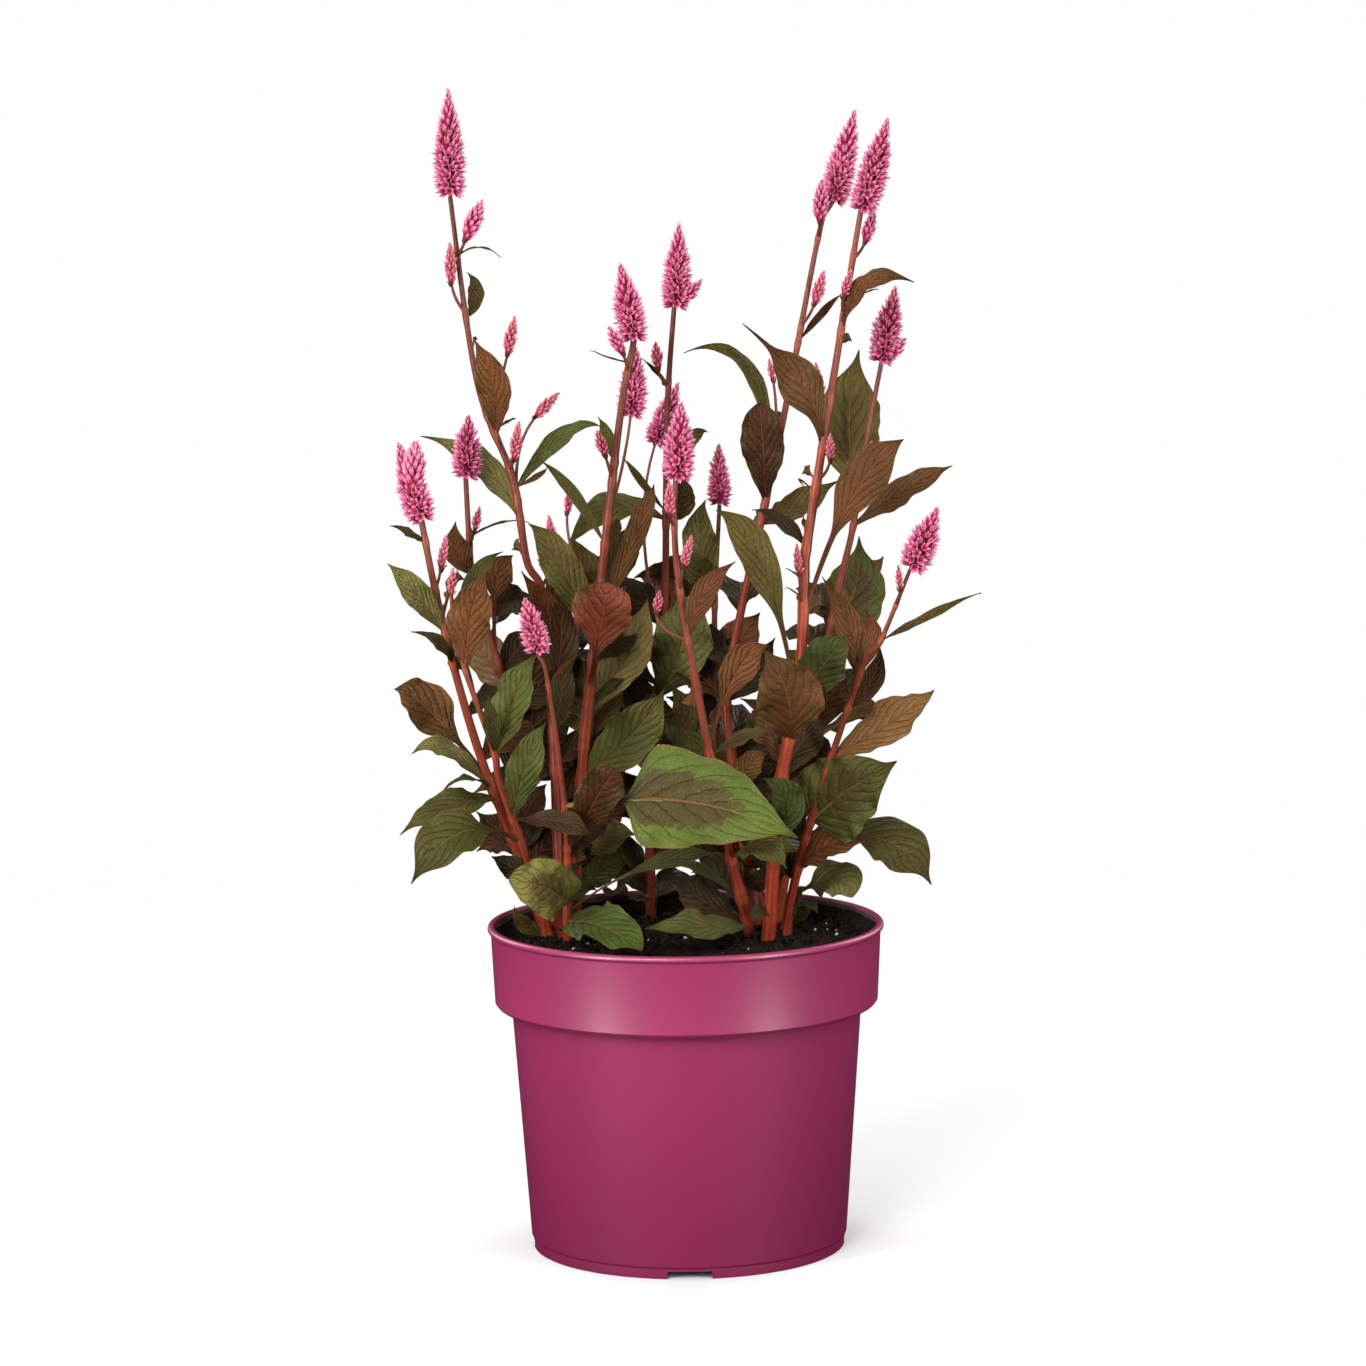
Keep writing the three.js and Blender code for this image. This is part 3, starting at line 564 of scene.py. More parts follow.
# a narrower leaf is slender, a wider one broad or ovate, and a small one has a coarser mesh
BROAD_FROM, OVATE_FROM = 25, 40
NARROW_UNDER = 14
# a blade's thickness, the petiole's share under which the blade runs down to its foot, and
# the most that the wings along a petiole are wide
BLADE_THICK = 0.3
SHORT_STALK, SHORTEST_STALK = 0.26, 0.04
WING = 2.6
# relief: waves and curls of the margin, its uneven cut, puckers between the side veins, the
# groove along the midrib and the rib under it; all are shares of the width, but for MOST_WAVE
# and RIB_DEPTH, which are lengths
WAVES, WAVE, MOST_WAVE = 5, 0.2, 2.2
CURLS, CURL = 6, 0.07
CUTS, CUT = 19, 0.035
FINE_CUTS, FINE_CUT = 47, 0.018
VEIN_PAIRS, VEIN_SLANT = 8, 0.3
PUCKER = 0.022
GROOVE, GROOVE_HALF = 0.02, 0.09
RIB_DEPTH, RIB_HALF = 0.45, 0.12
# how far a leaf's tip hooks down and aside, and how far a leaf twists and leans
HOOK_FROM, HOOKED_LENGTH = 0.78, 30
HOOK, SIDE_HOOK = (0.3, 1.3), 0.9
TWIST, LEAN = 0.22, 0.06
# dusky leaves inside the clump: heights on the stem, lengths, and where they lean to
INNER_FROM, INNER_TO, INNER_STEP = 168, 310, 22
INNER_LENGTH = (28, 46)
INNER_MIDDLE = (0, 66, 0)
INNER_BEHIND = 0
# leaves behind the clump: heights, share of the heights that has one, lengths, how small they
# get with height, and how far back they reach
REAR_FROM, REAR_STEP, REAR_UNDER_TOP = 196, 34, 40
REAR_SHARE = 0.7
REAR_LENGTH = (34, 52)
REAR_SHRINKS, REAR_SMALLEST = (250, 380), 0.25
REAR_EDGE = 88

# the way that the upper face of a leaf looks
FRONT = (0, -1, 0.25)
FRONT_UP = (0, -0.8, 0.7)
TILTED = (0, -1, 0.45)
UP = (0, -0.2, 1)
BACK = (0, 1, 0.3)
BACK_UP = (0, 0.7, 0.8)
# where a spike leaves the stem, when it stands on its end
TOP = None

# leaf colours, and how much they vary in lightness and warmth
SHADES, WARMTH = (0.84, 1.16), 0.12
OLIVE = (0.074, 0.058, 0.013)
BRONZE = (0.108, 0.039, 0.012)
GREEN = (0.055, 0.060, 0.012)
BROWN = (0.036, 0.014, 0.004)
DARK = (0.026, 0.017, 0.006)
MOSS = (0.064, 0.082, 0.017)
DEEP = (0.042, 0.046, 0.011)
SHADY = (0.048, 0.038, 0.008)
FRESH = (0.125, 0.122, 0.026)
LIME = (0.091, 0.100, 0.016)
TAN = (0.180, 0.090, 0.028)
SAGE = (0.150, 0.128, 0.038)
RUSSET = (0.115, 0.028, 0.012)
GREENISH = (LIME, FRESH, MOSS, DEEP, GREEN)
# how dark the blotch in the middle of a leaf of each colour is
BLOTCHES = {LIME: 1.0, FRESH: 0.8, OLIVE: 0.35}
GREEN_BLOTCH = (0.2, 0.9)
LEAF_FLUSH = (0.110, 0.036, 0.014)
LEAF_GREENED = (0.046, 0.052, 0.012)
LEAF_DUSK = (0.050, 0.025, 0.011)
VEIN_RED = (0.18, 0.048, 0.020)
MIDRIB_RED = (0.24, 0.085, 0.035)
MARGIN_RED = (0.17, 0.045, 0.02)
UNDERSIDE_COPPER = (0.170, 0.062, 0.028)

# stem colours
STEM_FOOT = (0.22, 0.026, 0.010)
STEM_HEAD = (0.125, 0.028, 0.014)
KNOT_COLOUR, KNOT_SHARE = (0.33, 0.075, 0.026), 0.45
PETIOLE_GREEN = (0.120, 0.095, 0.030)
CUT_COLOUR = (0.50, 0.26, 0.10)
BARK_PATCH = (0.085, 0.030, 0.014)
BARK_SCAR = (0.26, 0.13, 0.06)
# ridges lighter and furrows darker, then painted light on a stem's left side and painted shade on
# its right
RIDGE_LIGHT, FURROW_LIGHT, PAINTED_SIDE_LIGHT = 1.12, 0.8, 0.22
# painted light and shade of whole stems: how much lighter than the others the bark of some stems
# is
BARK_PAINTED_LIGHT = {"tall_right": 1.3, "mid_left": 0.8, "tall_left": 0.75, "centre": 0.8,
           "back_centre": 0.8}
# shoots beside which an older one was pruned: the stub's foot and top
PRUNED = {"low_spike": ((-57, 4, 146), (-56, -2, 187)),
          "inner_left": ((-66, 44, 148), (-69, 40, 171))}


def leaf(leaves_at, stalk, mid, tip, wide, tint, face=FRONT, cup=0.2, outline=None):
    """A leaf from the height leaves_at: the petiole's share of its length, its midrib through
    mid to the tip, its width, its colour, the way that its face looks, and how hollow it is."""
    if outline is None:
        outline = SLENDER if wide < BROAD_FROM else BROAD if wide < OVATE_FROM else OVATE
    return dict(leaves_at=leaves_at, stalk=stalk, mid=mid, tip=tip, wide=wide, face=face,
                tint=tint, cup=cup, outline=outline)


def spike(name, leaves_at, base, tip, wide, *more):
    """A flower spike on its own stalk from the height leaves_at, or on the stem's end."""
    return dict(name=name, leaves_at=leaves_at, heads=[(base, tip, wide), *more])


# every stem: its radii at the foot and the top, its line from the soil up, what it carries
STEMS = [
    dict(name="tall_left", foot=2.8, top=1.1, path=[
        (-61, 30, 145), (-62, 30, 212), (-64, 22, 291), (-68, 19, 318), (-74, 17, 330),
        (-80, 13, 370), (-96, 9, 417), (-107, 8, 504),
    ], leaves=[
        leaf(476, 0.1, (-94, 1, 480), (-83, -5, 476), 2.4, OLIVE, UP),
        leaf(446, 0.1, (-96, 20, 457), (-100, 26, 468), 8, OLIVE),
        leaf(390, 0.15, (-88, -1, 416), (-97, -5, 436), 16, BRONZE, cup=0.3),
        leaf(364, 0.15, (-57, 22, 388), (-37, 18, 395), 10, MOSS, FRONT_UP),
        leaf(349, 0.1, (-94, 45, 372), (-125, 52, 389), 15, SAGE, FRONT_UP, cup=0.15),
        leaf(289, 0.15, (-65, 10, 307), (-77, 4, 325), 13, BRONZE),
        leaf(261, 0.2, (-58, 11, 292), (-59, 9, 317), 17, BROWN),
        leaf(244, 0.2, (-58, 17, 266), (-55, 17, 285), 13, DARK),
        leaf(227, 0.2, (-65, 42, 240), (-54, 48, 250), 17.5, BROWN),
        leaf(393, 0.1, (-81, 15, 397), (-78, 17, 398), 2.4, BRONZE, UP),
        leaf(365, 0.2, (-68, 7, 371), (-63, 4, 375), 2.9, BRONZE),
    ], spikes=[
        spike("spike_tall_left", TOP, (-107, 8, 505), (-107, 8, 555), 16.0),
        spike("bud_a", 475, (-100, 3, 483), (-91, -1, 503), 9.0),
        spike("bud_b", 449, (-107, 3, 463), (-107, 0, 483), 6.5),
        spike("bud_c", 400, (-81, 2, 429), (-77, 0, 448), 6.5),
        spike("bud_d", 374, (-79, 6, 379), (-76, 4, 398), 6.5),
        spike("bud_e", 359, (-69, 24, 398), (-57, 26, 410), 6.0),
        spike("bud_i", 316, (-61, 9, 338), (-63, 7, 353), 5.0),
        spike("bud_j", 307, (-63, 4, 324), (-68, -2, 338), 5.5),
    ]),
    dict(name="double_left", foot=2.7, top=1.5, path=[
        (-69, 40, 145), (-77, 36, 172), (-83, 30, 192), (-96, 10, 232), (-107, -5, 275),
        (-117, -12, 322), (-122, -14, 351),
    ], leaves=[
        leaf(342, 0.15, (-128, -19, 347), (-136, -25, 352), 5, OLIVE, FRONT_UP),
        leaf(298, 0.1, (-125, -19, 319), (-138, -23, 333), 13, SAGE),
        leaf(283, 0.2, (-114, -18, 294), (-127, -24, 302), 8, OLIVE, FRONT_UP),
        leaf(224, 0.27, (-120, 6, 258), (-137, 2, 272), 25, BRONZE, FRONT_UP),
        leaf(220, 0.2, (-114, -1, 242), (-129, -7, 240), 11, SAGE, FRONT_UP),
        leaf(219, 0.1, (-102, 1, 227), (-116, -7, 223), 8, GREEN, UP),
        leaf(215, 0.1, (-111, -13, 216), (-135, -29, 206), 17, OLIVE, FRONT_UP),
        leaf(182, 0.15, (-90, 49, 188), (-102, 53, 183), 14.6, BROWN, FRONT_UP),
        leaf(195, 0.15, (-93, 43, 197), (-101, 47, 204), 13.6, BROWN, FRONT_UP),
    ], spikes=[
        spike("spike_double_left", TOP, (-122, -14, 353), (-133, -10, 390), 16.0,
              ((-126, -16, 366), (-124, -18, 391), 11.5)),
        spike("bud_f", 319, (-114, -6, 328), (-111, -5, 345), 5.0),
    ]),
    dict(name="side_left", foot=2.7, top=0.9, path=[
        (-67, 22, 145), (-72, 10, 174), (-87, -13, 226), (-90, -18, 244), (-102, -25, 281),
        (-107, -27, 302), (-108, -28, 317),
    ], leaves=[
        leaf(282, 0.15, (-99, -35, 310), (-91, -39, 329), 21, BRONZE),
        leaf(297, 0.1, (-98, -19, 325), (-84, -17, 337), 8, GREEN),
        leaf(241, 0.2, (-80, -31, 269), (-69, -35, 292), 20, MOSS, FRONT_UP),
        leaf(241, 0.1, (-90, -35, 259), (-91, -43, 272), 8, GREEN),
        leaf(196, 0.27, (-105, -31, 206), (-129, -40, 183), 27, SHADY, FRONT_UP),
        leaf(208, 0.2, (-75, -29, 237), (-65, -35, 259), 17, MOSS),
        leaf(208, 0.1, (-58, -36, 211), (-44, -41, 204), 13, BROWN, FRONT_UP),
        leaf(147, 0.1, (-78, 17, 153), (-83, 13, 162), 8.2, OLIVE),
        leaf(176, 0.15, (-83, 15, 181), (-93, 17, 187), 13.4, DARK, FRONT_UP),
        leaf(202, 0.15, (-74, 5, 213), (-66, 9, 223), 15.3, BROWN),
    ], spikes=[
        spike("bud_g", TOP, (-108, -28, 318), (-107, -28, 332), 5.0),
    ]),
    dict(name="inner_left", foot=2.55, top=1.2, path=[
        (-63, 48, 145), (-79, 50, 221), (-87, 42, 269), (-97, 34, 304), (-101, 31, 324),
        (-103, 30, 369),
    ], leaves=[
        leaf(322, 0.1, (-107, 19, 335), (-108, 15, 349), 13, BRONZE),
        leaf(340, 0.1, (-88, 38, 346), (-73, 40, 347), 2.4, OLIVE, UP),
        leaf(279, 0.45, (-90, 32, 313), (-82, 28, 332), 16, BRONZE),
        leaf(214, 0.2, (-84, 62, 233), (-79, 66, 251), 13, DARK),
        leaf(205, 0.2, (-84, 66, 216), (-104, 78, 208), 22, GREEN, BACK_UP),
        leaf(262, 0.15, (-96, 62, 278), (-108, 78, 292), 22, OLIVE, BACK),
        leaf(179, 0.15, (-77, 70, 187), (-87, 74, 199), 16.7, BROWN),
        leaf(259, 0.15, (-75, 58, 273), (-65, 62, 287), 16.6, OLIVE),
        leaf(229, 0.15, (-66, 57, 240), (-56, 61, 252), 17.6, BROWN),
        leaf(236, 0.2, (-74, 60, 249), (-70, 64, 262), 19.5, DARK),
        leaf(169, 0.2, (-69, 54, 184), (-74, 56, 193), 12.7, BROWN),
    ], spikes=[
        spike("spike_inner_left", TOP, (-103, 30, 370), (-101, 29, 400), 15.5),
        spike("bud_h", 336, (-99, 23, 344), (-96, 21, 356), 5.0),
    ]),
    dict(name="low_spike", foot=2.0, top=0.9, path=[
        (-57, 8, 144), (-56, -22, 209), (-63, -46, 279), (-67, -50, 292),
    ], leaves=[
        leaf(166, 0.2, (-66, -35, 180), (-83, -43, 184), 27, FRESH, outline=ROUNDED),
        leaf(176, 0.1, (-65, -4, 184), (-74, -3, 189), 10, DARK, FRONT_UP),
        leaf(195, 0.2, (-41, -42, 223), (-31, -50, 238), 20, BROWN, outline=OBOVATE),
        leaf(217, 0.27, (1, -59, 223), (52, -83, 210), 50, LIME, TILTED, cup=0.08),
        leaf(162, 0.45, (-21, -21, 186), (15, -31, 195), 11, DEEP, FRONT_UP),
        leaf(157, 0.1, (-40, -32, 160), (-21, -64, 155), 25, MOSS, FRONT_UP, outline=ROUNDED),
        leaf(189, 0.15, (-45, -8, 205), (-34, -4, 211), 17.1, BROWN, FRONT_UP),
        leaf(277, 0.1, (-56, -51, 286), (-48, -55, 293), 1.9, BRONZE),
    ], spikes=[
        spike("spike_low", TOP, (-67, -50, 294), (-73, -54, 320), 13.5),
    ]),
    dict(name="mid_left", foot=3.3, top=1.5, path=[
        (-54, 42, 146), (-50, 28, 217), (-36, -6, 338), (-27, -14, 406), (-21, -14, 436),
    ], leaves=[
        leaf(339, 0.1, (-51, 4, 363), (-67, 8, 379), 6, OLIVE),
        leaf(292, 0.15, (-57, -8, 330), (-71, -14, 351), 18, OLIVE),
        leaf(267, 0.3, (-39, -14, 300), (-35, -22, 323), 29, RUSSET, cup=0.25, outline=OBOVATE),
        leaf(256, 0.2, (-26, 25, 284), (-16, 25, 309), 22, SAGE),
        leaf(300, 0.2, (-21, 16, 344), (-12, 20, 365), 11, BRONZE, cup=0.45),
        leaf(310, 0.15, (-29, 27, 330), (-20, 35, 348), 16, DARK),
        leaf(302, 0.15, (-47, 27, 323), (-52, 37, 339), 17, OLIVE),
        leaf(378, 0.1, (-34, 1, 389), (-38, 5, 399), 7, OLIVE),
        leaf(245, 0.2, (-55, 40, 253), (-58, 46, 260), 13, TAN),
        leaf(240, 0.15, (-37, 35, 257), (-29, 41, 269), 13, OLIVE),
        leaf(222, 0.2, (-24, 11, 246), (-8, 3, 269), 25, GREEN),
        leaf(177, 0.3, (-39, 25, 191), (-24, 15, 198), 19, OLIVE, FRONT_UP),
        leaf(198, 0.2, (-44, 64, 210), (-40, 84, 206), 24, GREEN, BACK_UP),
        leaf(250, 0.15, (-48, 48, 268), (-56, 68, 284), 26, OLIVE, BACK),
        leaf(177, 0.2, (-47, 31, 187), (-57, 27, 192), 14.5, BROWN, FRONT_UP),
        leaf(212, 0.2, (-41, 59, 227), (-21, 67, 235), 21.4, DARK),
        leaf(262, 0.15, (-56, 31, 274), (-66, 37, 290), 18.3, DARK),
        leaf(282, 0.15, (-31, 23, 290), (-19, 27, 296), 15.4, DARK),
        leaf(166, 0.2, (-42, 51, 173), (-32, 57, 177), 16.6, DARK, FRONT_UP),
        leaf(207, 0.2, (-57, 40, 215), (-62, 44, 226), 12.6, RUSSET),
        leaf(426, 0.1, (-34, -20, 429), (-41, -24, 433), 1.7, OLIVE, UP),
    ], spikes=[
        spike("spike_mid_left", TOP, (-21, -14, 437), (-27, -12, 473), 15.5),
        spike("spike_mid_small", 351, (-23, 2, 400), (-20, 4, 433), 14.5),
        spike("bud_k", 421, (-26, -21, 430), (-33, -26, 444), 7.0),
        spike("bud_l", 370, (-35, -18, 382), (-39, -22, 395), 6.0),
        spike("bud_m", 312, (-54, 8, 353), (-52, 10, 366), 5.0),
    ]),
    dict(name="centre", foot=2.55, top=1.2, path=[
        (-17, 68, 147), (-17, 67, 211), (-14, 63, 246), (-11, 58, 276), (-8, 50, 306),
        (-6, 36, 395), (-2, 30, 448),
    ], leaves=[
        leaf(350, 0.1, (-19, 35, 366), (-27, 31, 378), 4, OLIVE),
        leaf(346, 0.15, (-33, 30, 353), (-55, 22, 335), 18, OLIVE, FRONT_UP),
        leaf(371, 0.2, (5, 40, 385), (13, 38, 390), 8, OLIVE),
        leaf(344, 0.15, (0, 34, 357), (1, 30, 368), 15, DARK),
        leaf(256, 0.15, (0, 33, 290), (-1, 27, 314), 29, SAGE, cup=0.15),
        leaf(221, 0.15, (0, 50, 246), (-7, 44, 267), 15, OLIVE),
        leaf(253, 0.2, (2, 48, 240), (9, 40, 225), 20, DEEP, FRONT_UP),
        leaf(156, 0.2, (-34, 24, 167), (-21, 12, 180), 13, DARK, FRONT_UP),
        leaf(158, 0.1, (-36, 54, 178), (-46, 46, 190), 17, DEEP, FRONT_UP),
        leaf(185, 0.2, (-26, 82, 196), (-44, 84, 192), 24, GREEN, BACK_UP),
        leaf(232, 0.15, (2, 74, 246), (18, 83, 250), 24, OLIVE, BACK_UP),
        leaf(292, 0.15, (-12, 64, 306), (-20, 80, 316), 24, BRONZE, BACK),
        leaf(166, 0.2, (-32, 78, 178), (-47, 82, 169), 17.7, DARK, FRONT_UP),
        leaf(176, 0.2, (1, 74, 185), (16, 78, 178), 20.7, DARK, FRONT_UP),
        leaf(196, 0.15, (-4, 82, 208), (6, 86, 224), 22.7, DARK),
        leaf(156, 0.2, (-5, 82, 161), (7, 86, 154), 18.7, DARK, FRONT_UP),
        leaf(236, 0.15, (-22, 78, 246), (-31, 82, 260), 20.7, DARK),
        leaf(241, 0.15, (-21, 72, 255), (-23, 76, 270), 19.7, DARK),
        leaf(198, 0.15, (-25, 75, 208), (-33, 77, 220), 18.7, BROWN),
        leaf(412, 0.1, (-11, 28, 419), (-17, 25, 425), 2.4, OLIVE),
    ], spikes=[
        spike("spike_centre", TOP, (-1, 30, 450), (1, 30, 490), 15.5,
              ((1, 28, 451), (12, 26, 463), 7.0)),
        spike("spike_back", 286, (-12, 77, 381), (0, 79, 411), 13.5),
        spike("bud_n", 412, (-10, 25, 420), (-11, 23, 434), 6.5),
    ]),
    dict(name="front_centre", foot=2.7, top=1.3, path=[
        (31, 22, 144), (21, -3, 194), (9, -29, 260), (-1, -45, 323), (-3, -48, 354),
        (-2, -48, 373),
    ], leaves=[
        leaf(297, 0.25, (10, -48, 319), (25, -52, 335), 12, BRONZE),
        leaf(242, 0.3, (24, -34, 279), (40, -40, 295), 17, BRONZE),
        leaf(240, 0.1, (28, -34, 250), (42, -42, 255), 8, GREEN, FRONT_UP),
        leaf(165, 0.25, (6, -2, 183), (-12, -8, 185), 6, GREEN, FRONT_UP),
        leaf(152, 0.25, (6, 8, 167), (-4, 4, 177), 21, DARK, FRONT_UP),
        leaf(151, 0.1, (7, -23, 158), (-19, -39, 161), 18, MOSS, FRONT_UP),
        leaf(187, 0.1, (37, -23, 196), (48, -33, 187), 18, FRESH, FRONT_UP),
        leaf(170, 0.15, (38, 19, 173), (50, 23, 176), 13.4, BROWN, FRONT_UP),
    ], spikes=[
        spike("spike_front", TOP, (-1, -48, 374), (1, -50, 410), 16.0),
        spike("bud_o", 352, (-5, -56, 357), (-5, -59, 374), 5.5),
        spike("bud_p", 321, (1, -53, 333), (5, -56, 348), 5.0),
        spike("bud_q", 297, (-12, -48, 311), (-10, -49, 322), 5.0),
    ]),
    dict(name="back_centre", foot=2.6, top=1.0, path=[
        (38, 66, 144), (29, 70, 190), (18, 71, 254), (16, 69, 294), (19, 64, 351),
    ], leaves=[
        leaf(304, 0.15, (9, 56, 333), (12, 52, 355), 18, SAGE),
        leaf(301, 0.15, (9, 52, 320), (3, 46, 331), 14, OLIVE),
        leaf(239, 0.15, (12, 59, 261), (10, 55, 279), 12, DARK),
        leaf(190, 0.2, (54, 78, 198), (72, 84, 192), 22, GREEN, BACK_UP),
        leaf(268, 0.15, (28, 80, 282), (38, 86, 296), 22, BRONZE, BACK),
        leaf(180, 0.2, (21, 79, 193), (7, 83, 200), 20.7, DARK),
        leaf(205, 0.15, (37, 77, 216), (48, 81, 228), 20.7, DARK),
        leaf(219, 0.15, (16, 79, 234), (7, 83, 246), 20.7, BROWN),
        leaf(170, 0.15, (15, 76, 179), (8, 80, 185), 19.7, DARK),
    ], spikes=[
        spike("spike_back_centre", TOP, (19, 64, 352), (19, 64, 382), 12.5),
    ]),
    dict(name="slim_right", foot=2.7, top=1.2, path=[
        (35, 42, 142), (24, 40, 229), (23, 38, 273), (49, 32, 391), (68, 35, 484),
        (74, 36, 497),
    ], leaves=[
        leaf(370, 0.15, (33, 29, 420), (2, 25, 429), 8, GREEN, FRONT_UP),
        leaf(354, 0.14, (40, 22, 380), (38, 18, 404), 21, BROWN, cup=0.12, outline=OBOVATE),
        leaf(432, 0.1, (69, 41, 445), (79, 43, 455), 4, BRONZE),
        leaf(344, 0.1, (57, 42, 352), (76, 46, 365), 16, OLIVE, FRONT_UP),
        leaf(214, 0.15, (32, 30, 228), (41, 26, 234), 13, TAN),
        leaf(236, 0.15, (37, 30, 251), (28, 22, 261), 14, SHADY, FRONT_UP),
        leaf(204, 0.2, (46, 62, 216), (60, 74, 220), 24, OLIVE, BACK_UP),
        leaf(189, 0.15, (41, 49, 202), (54, 53, 209), 18.5, DARK),
        leaf(258, 0.15, (34, 49, 271), (45, 53, 287), 17.5, DARK),
        leaf(229, 0.15, (29, 46, 237), (34, 50, 249), 15.6, DARK),
        leaf(356, 0.1, (37, 31, 364), (40, 28, 357), 1.7, BRONZE, UP),
    ], spikes=[
        spike("spike_slim_right", TOP, (75, 36, 499), (86, 40, 543), 15.5),
        spike("bud_r", 482, (68, 27, 489), (69, 23, 510), 8.5),
        spike("bud_s", 440, (65, 25, 450), (70, 23, 467), 6.5),
        spike("bud_t", 370, (45, 23, 414), (43, 22, 425), 4.0),
    ]),
    dict(name="tall_right", foot=3.6, top=1.3, path=[
        (40, 14, 144), (45, -12, 217), (50, -20, 247), (55, -25, 275), (57, -28, 306),
        (58, -29, 331), (61, -28, 352), (86, -14, 495),
    ], leaves=[
        leaf(440, 0.1, (88, -30, 462), (110, -34, 463), 11, BRONZE, FRONT_UP),
        leaf(386, 0.1, (56, -33, 416), (30, -39, 444), 22, BRONZE, cup=0.15, outline=DRIPPING),
        leaf(339, 0.1, (48, -19, 350), (34, -15, 357), 8, DARK, FRONT_UP),
        leaf(304, 0.35, (79, -42, 362), (104, -46, 390), 22, BRONZE, cup=0.15),
        leaf(265, 0.3, (39, -45, 328), (17, -51, 360), 18, OLIVE, cup=0.35),
        leaf(246, 0.15, (48, -46, 271), (38, -54, 295), 32, BRONZE, cup=0.15),
        leaf(263, 0.15, (67, -37, 286), (78, -43, 298), 23, DEEP),
        leaf(197, 0.15, (47, -23, 217), (38, -31, 231), 20, DEEP, FRONT_UP),
        leaf(158, 0.2, (36, 1, 161), (31, -6, 158), 8, GREEN, FRONT_UP),
        leaf(227, 0.15, (57, -1, 243), (69, 3, 253), 19.0, DARK),
        leaf(191, 0.2, (32, 3, 202), (26, 5, 212), 16.2, BROWN),
        leaf(365, 0.1, (56, -29, 371), (60, -31, 365), 1.6, BRONZE, UP),
        leaf(324, 0.1, (52, -32, 328), (49, -35, 330), 1.4, BRONZE, UP),
        leaf(315, 0.1, (52, -31, 319), (49, -34, 321), 1.4, BRONZE, UP),
        leaf(454, 0.1, (89, -21, 458), (93, -23, 459), 1.4, BRONZE, UP),
    ], spikes=[
        spike("spike_tall_right", TOP, (87, -14, 496), (99, -20, 539), 16.0),
        spike("bud_u", 473, (88, -8, 480), (93, -6, 496), 7.0),
        spike("bud_v", 448, (77, -26, 456), (81, -29, 469), 5.0),
        spike("bud_w", 407, (67, -15, 410), (64, -13, 425), 4.5),
        spike("bud_x", 370, (70, -34, 380), (70, -36, 393), 4.5),
        spike("bud_y", 309, (55, -35, 327), (54, -37, 342), 4.5),
    ]),
    dict(name="right", foot=2.7, top=1.1, path=[
        (44, 46, 143), (71, 18, 294), (82, 10, 344), (87, 7, 377), (96, 6, 423),
    ], leaves=[
        leaf(345, 0.1, (107, 2, 363), (129, -2, 374), 15, BRONZE, FRONT_UP),
        leaf(361, 0.1, (81, 20, 395), (87, 24, 428), 30, OLIVE, cup=0.1),
        leaf(287, 0.15, (83, 27, 310), (85, 31, 338), 31, GREEN, cup=0.12),
        leaf(241, 0.2, (71, 20, 263), (80, 16, 273), 20, BROWN),
        leaf(207, 0.15, (62, 22, 228), (62, 18, 247), 17, BROWN),
        leaf(156, 0.3, (70, 30, 171), (82, 22, 164), 21, SAGE, FRONT_UP, outline=ROUNDED),
        leaf(151, 0.2, (58, 41, 157), (65, 35, 154), 9, GREEN, UP),
        leaf(238, 0.2, (84, 50, 248), (104, 62, 244), 26, GREEN, BACK_UP),
        leaf(300, 0.15, (88, 34, 314), (98, 48, 326), 22, OLIVE, BACK),
        leaf(144, 0.1, (56, 40, 152), (63, 38, 159), 6.8, GREEN, FRONT_UP),
        leaf(174, 0.2, (62, 51, 182), (76, 57, 190), 18.5, DARK, FRONT_UP),
        leaf(189, 0.15, (45, 52, 196), (32, 56, 193), 17.5, DARK, FRONT_UP),
        leaf(260, 0.15, (60, 36, 273), (50, 40, 283), 18.4, OLIVE),
        leaf(250, 0.15, (77, 42, 262), (90, 46, 273), 18.4, DARK),
    ], spikes=[
        spike("spike_right", TOP, (96, 6, 424), (103, 3, 460), 15.5,
              ((99, 4, 425), (108, 2, 435), 7.0)),
        spike("bud_z", 365, (89, 1, 375), (91, -1, 387), 5.0),
    ]),
    dict(name="far_right", foot=2.55, top=0.9, path=[
        (48, 22, 144), (58, 8, 194), (84, -25, 279), (93, -31, 294), (107, -38, 329),
    ], leaves=[
        leaf(295, 0.1, (114, -37, 306), (139, -43, 319), 5, OLIVE, FRONT_UP),
        leaf(274, 0.1, (80, -15, 297), (66, -13, 323), 14, BRONZE, cup=0.35),
        leaf(279, 0.1, (90, -17, 295), (86, -13, 307), 9, BRONZE),
        leaf(261, 0.1, (90, -9, 273), (94, -7, 290), 11, BROWN),
        leaf(236, 0.25, (99, -15, 254), (119, -19, 269), 23, TAN, FRONT_UP, cup=0.12),
        leaf(204, 0.15, (80, -12, 222), (101, -20, 235), 42, GREEN, cup=0.12),
        leaf(180, 0.2, (69, 0, 193), (88, -6, 195), 21, BRONZE, FRONT_UP),
        leaf(195, 0.27, (96, 10, 194), (117, 0, 173), 28, SHADY, FRONT_UP, cup=0.12),
        leaf(148, 0.1, (53, 17, 164), (58, 13, 171), 6.7, GREEN, FRONT_UP),
        leaf(230, 0.15, (63, 6, 238), (55, 10, 246), 15.3, BROWN),
    ], spikes=[
        spike("spike_far_right", TOP, (108, -38, 330), (120, -44, 359), 16.0),
        spike("bud_zz", 312, (102, -41, 320), (101, -43, 332), 4.0),
    ]),
]


def array_of(points):
    """Points or a colour as an array, for working on a whole mesh at once."""
    return np.array(points, dtype=float)


def unit(rows):
    """The vectors made 1 long."""
    return rows / np.maximum(np.linalg.norm(rows, axis=-1, keepdims=True), 1e-9)


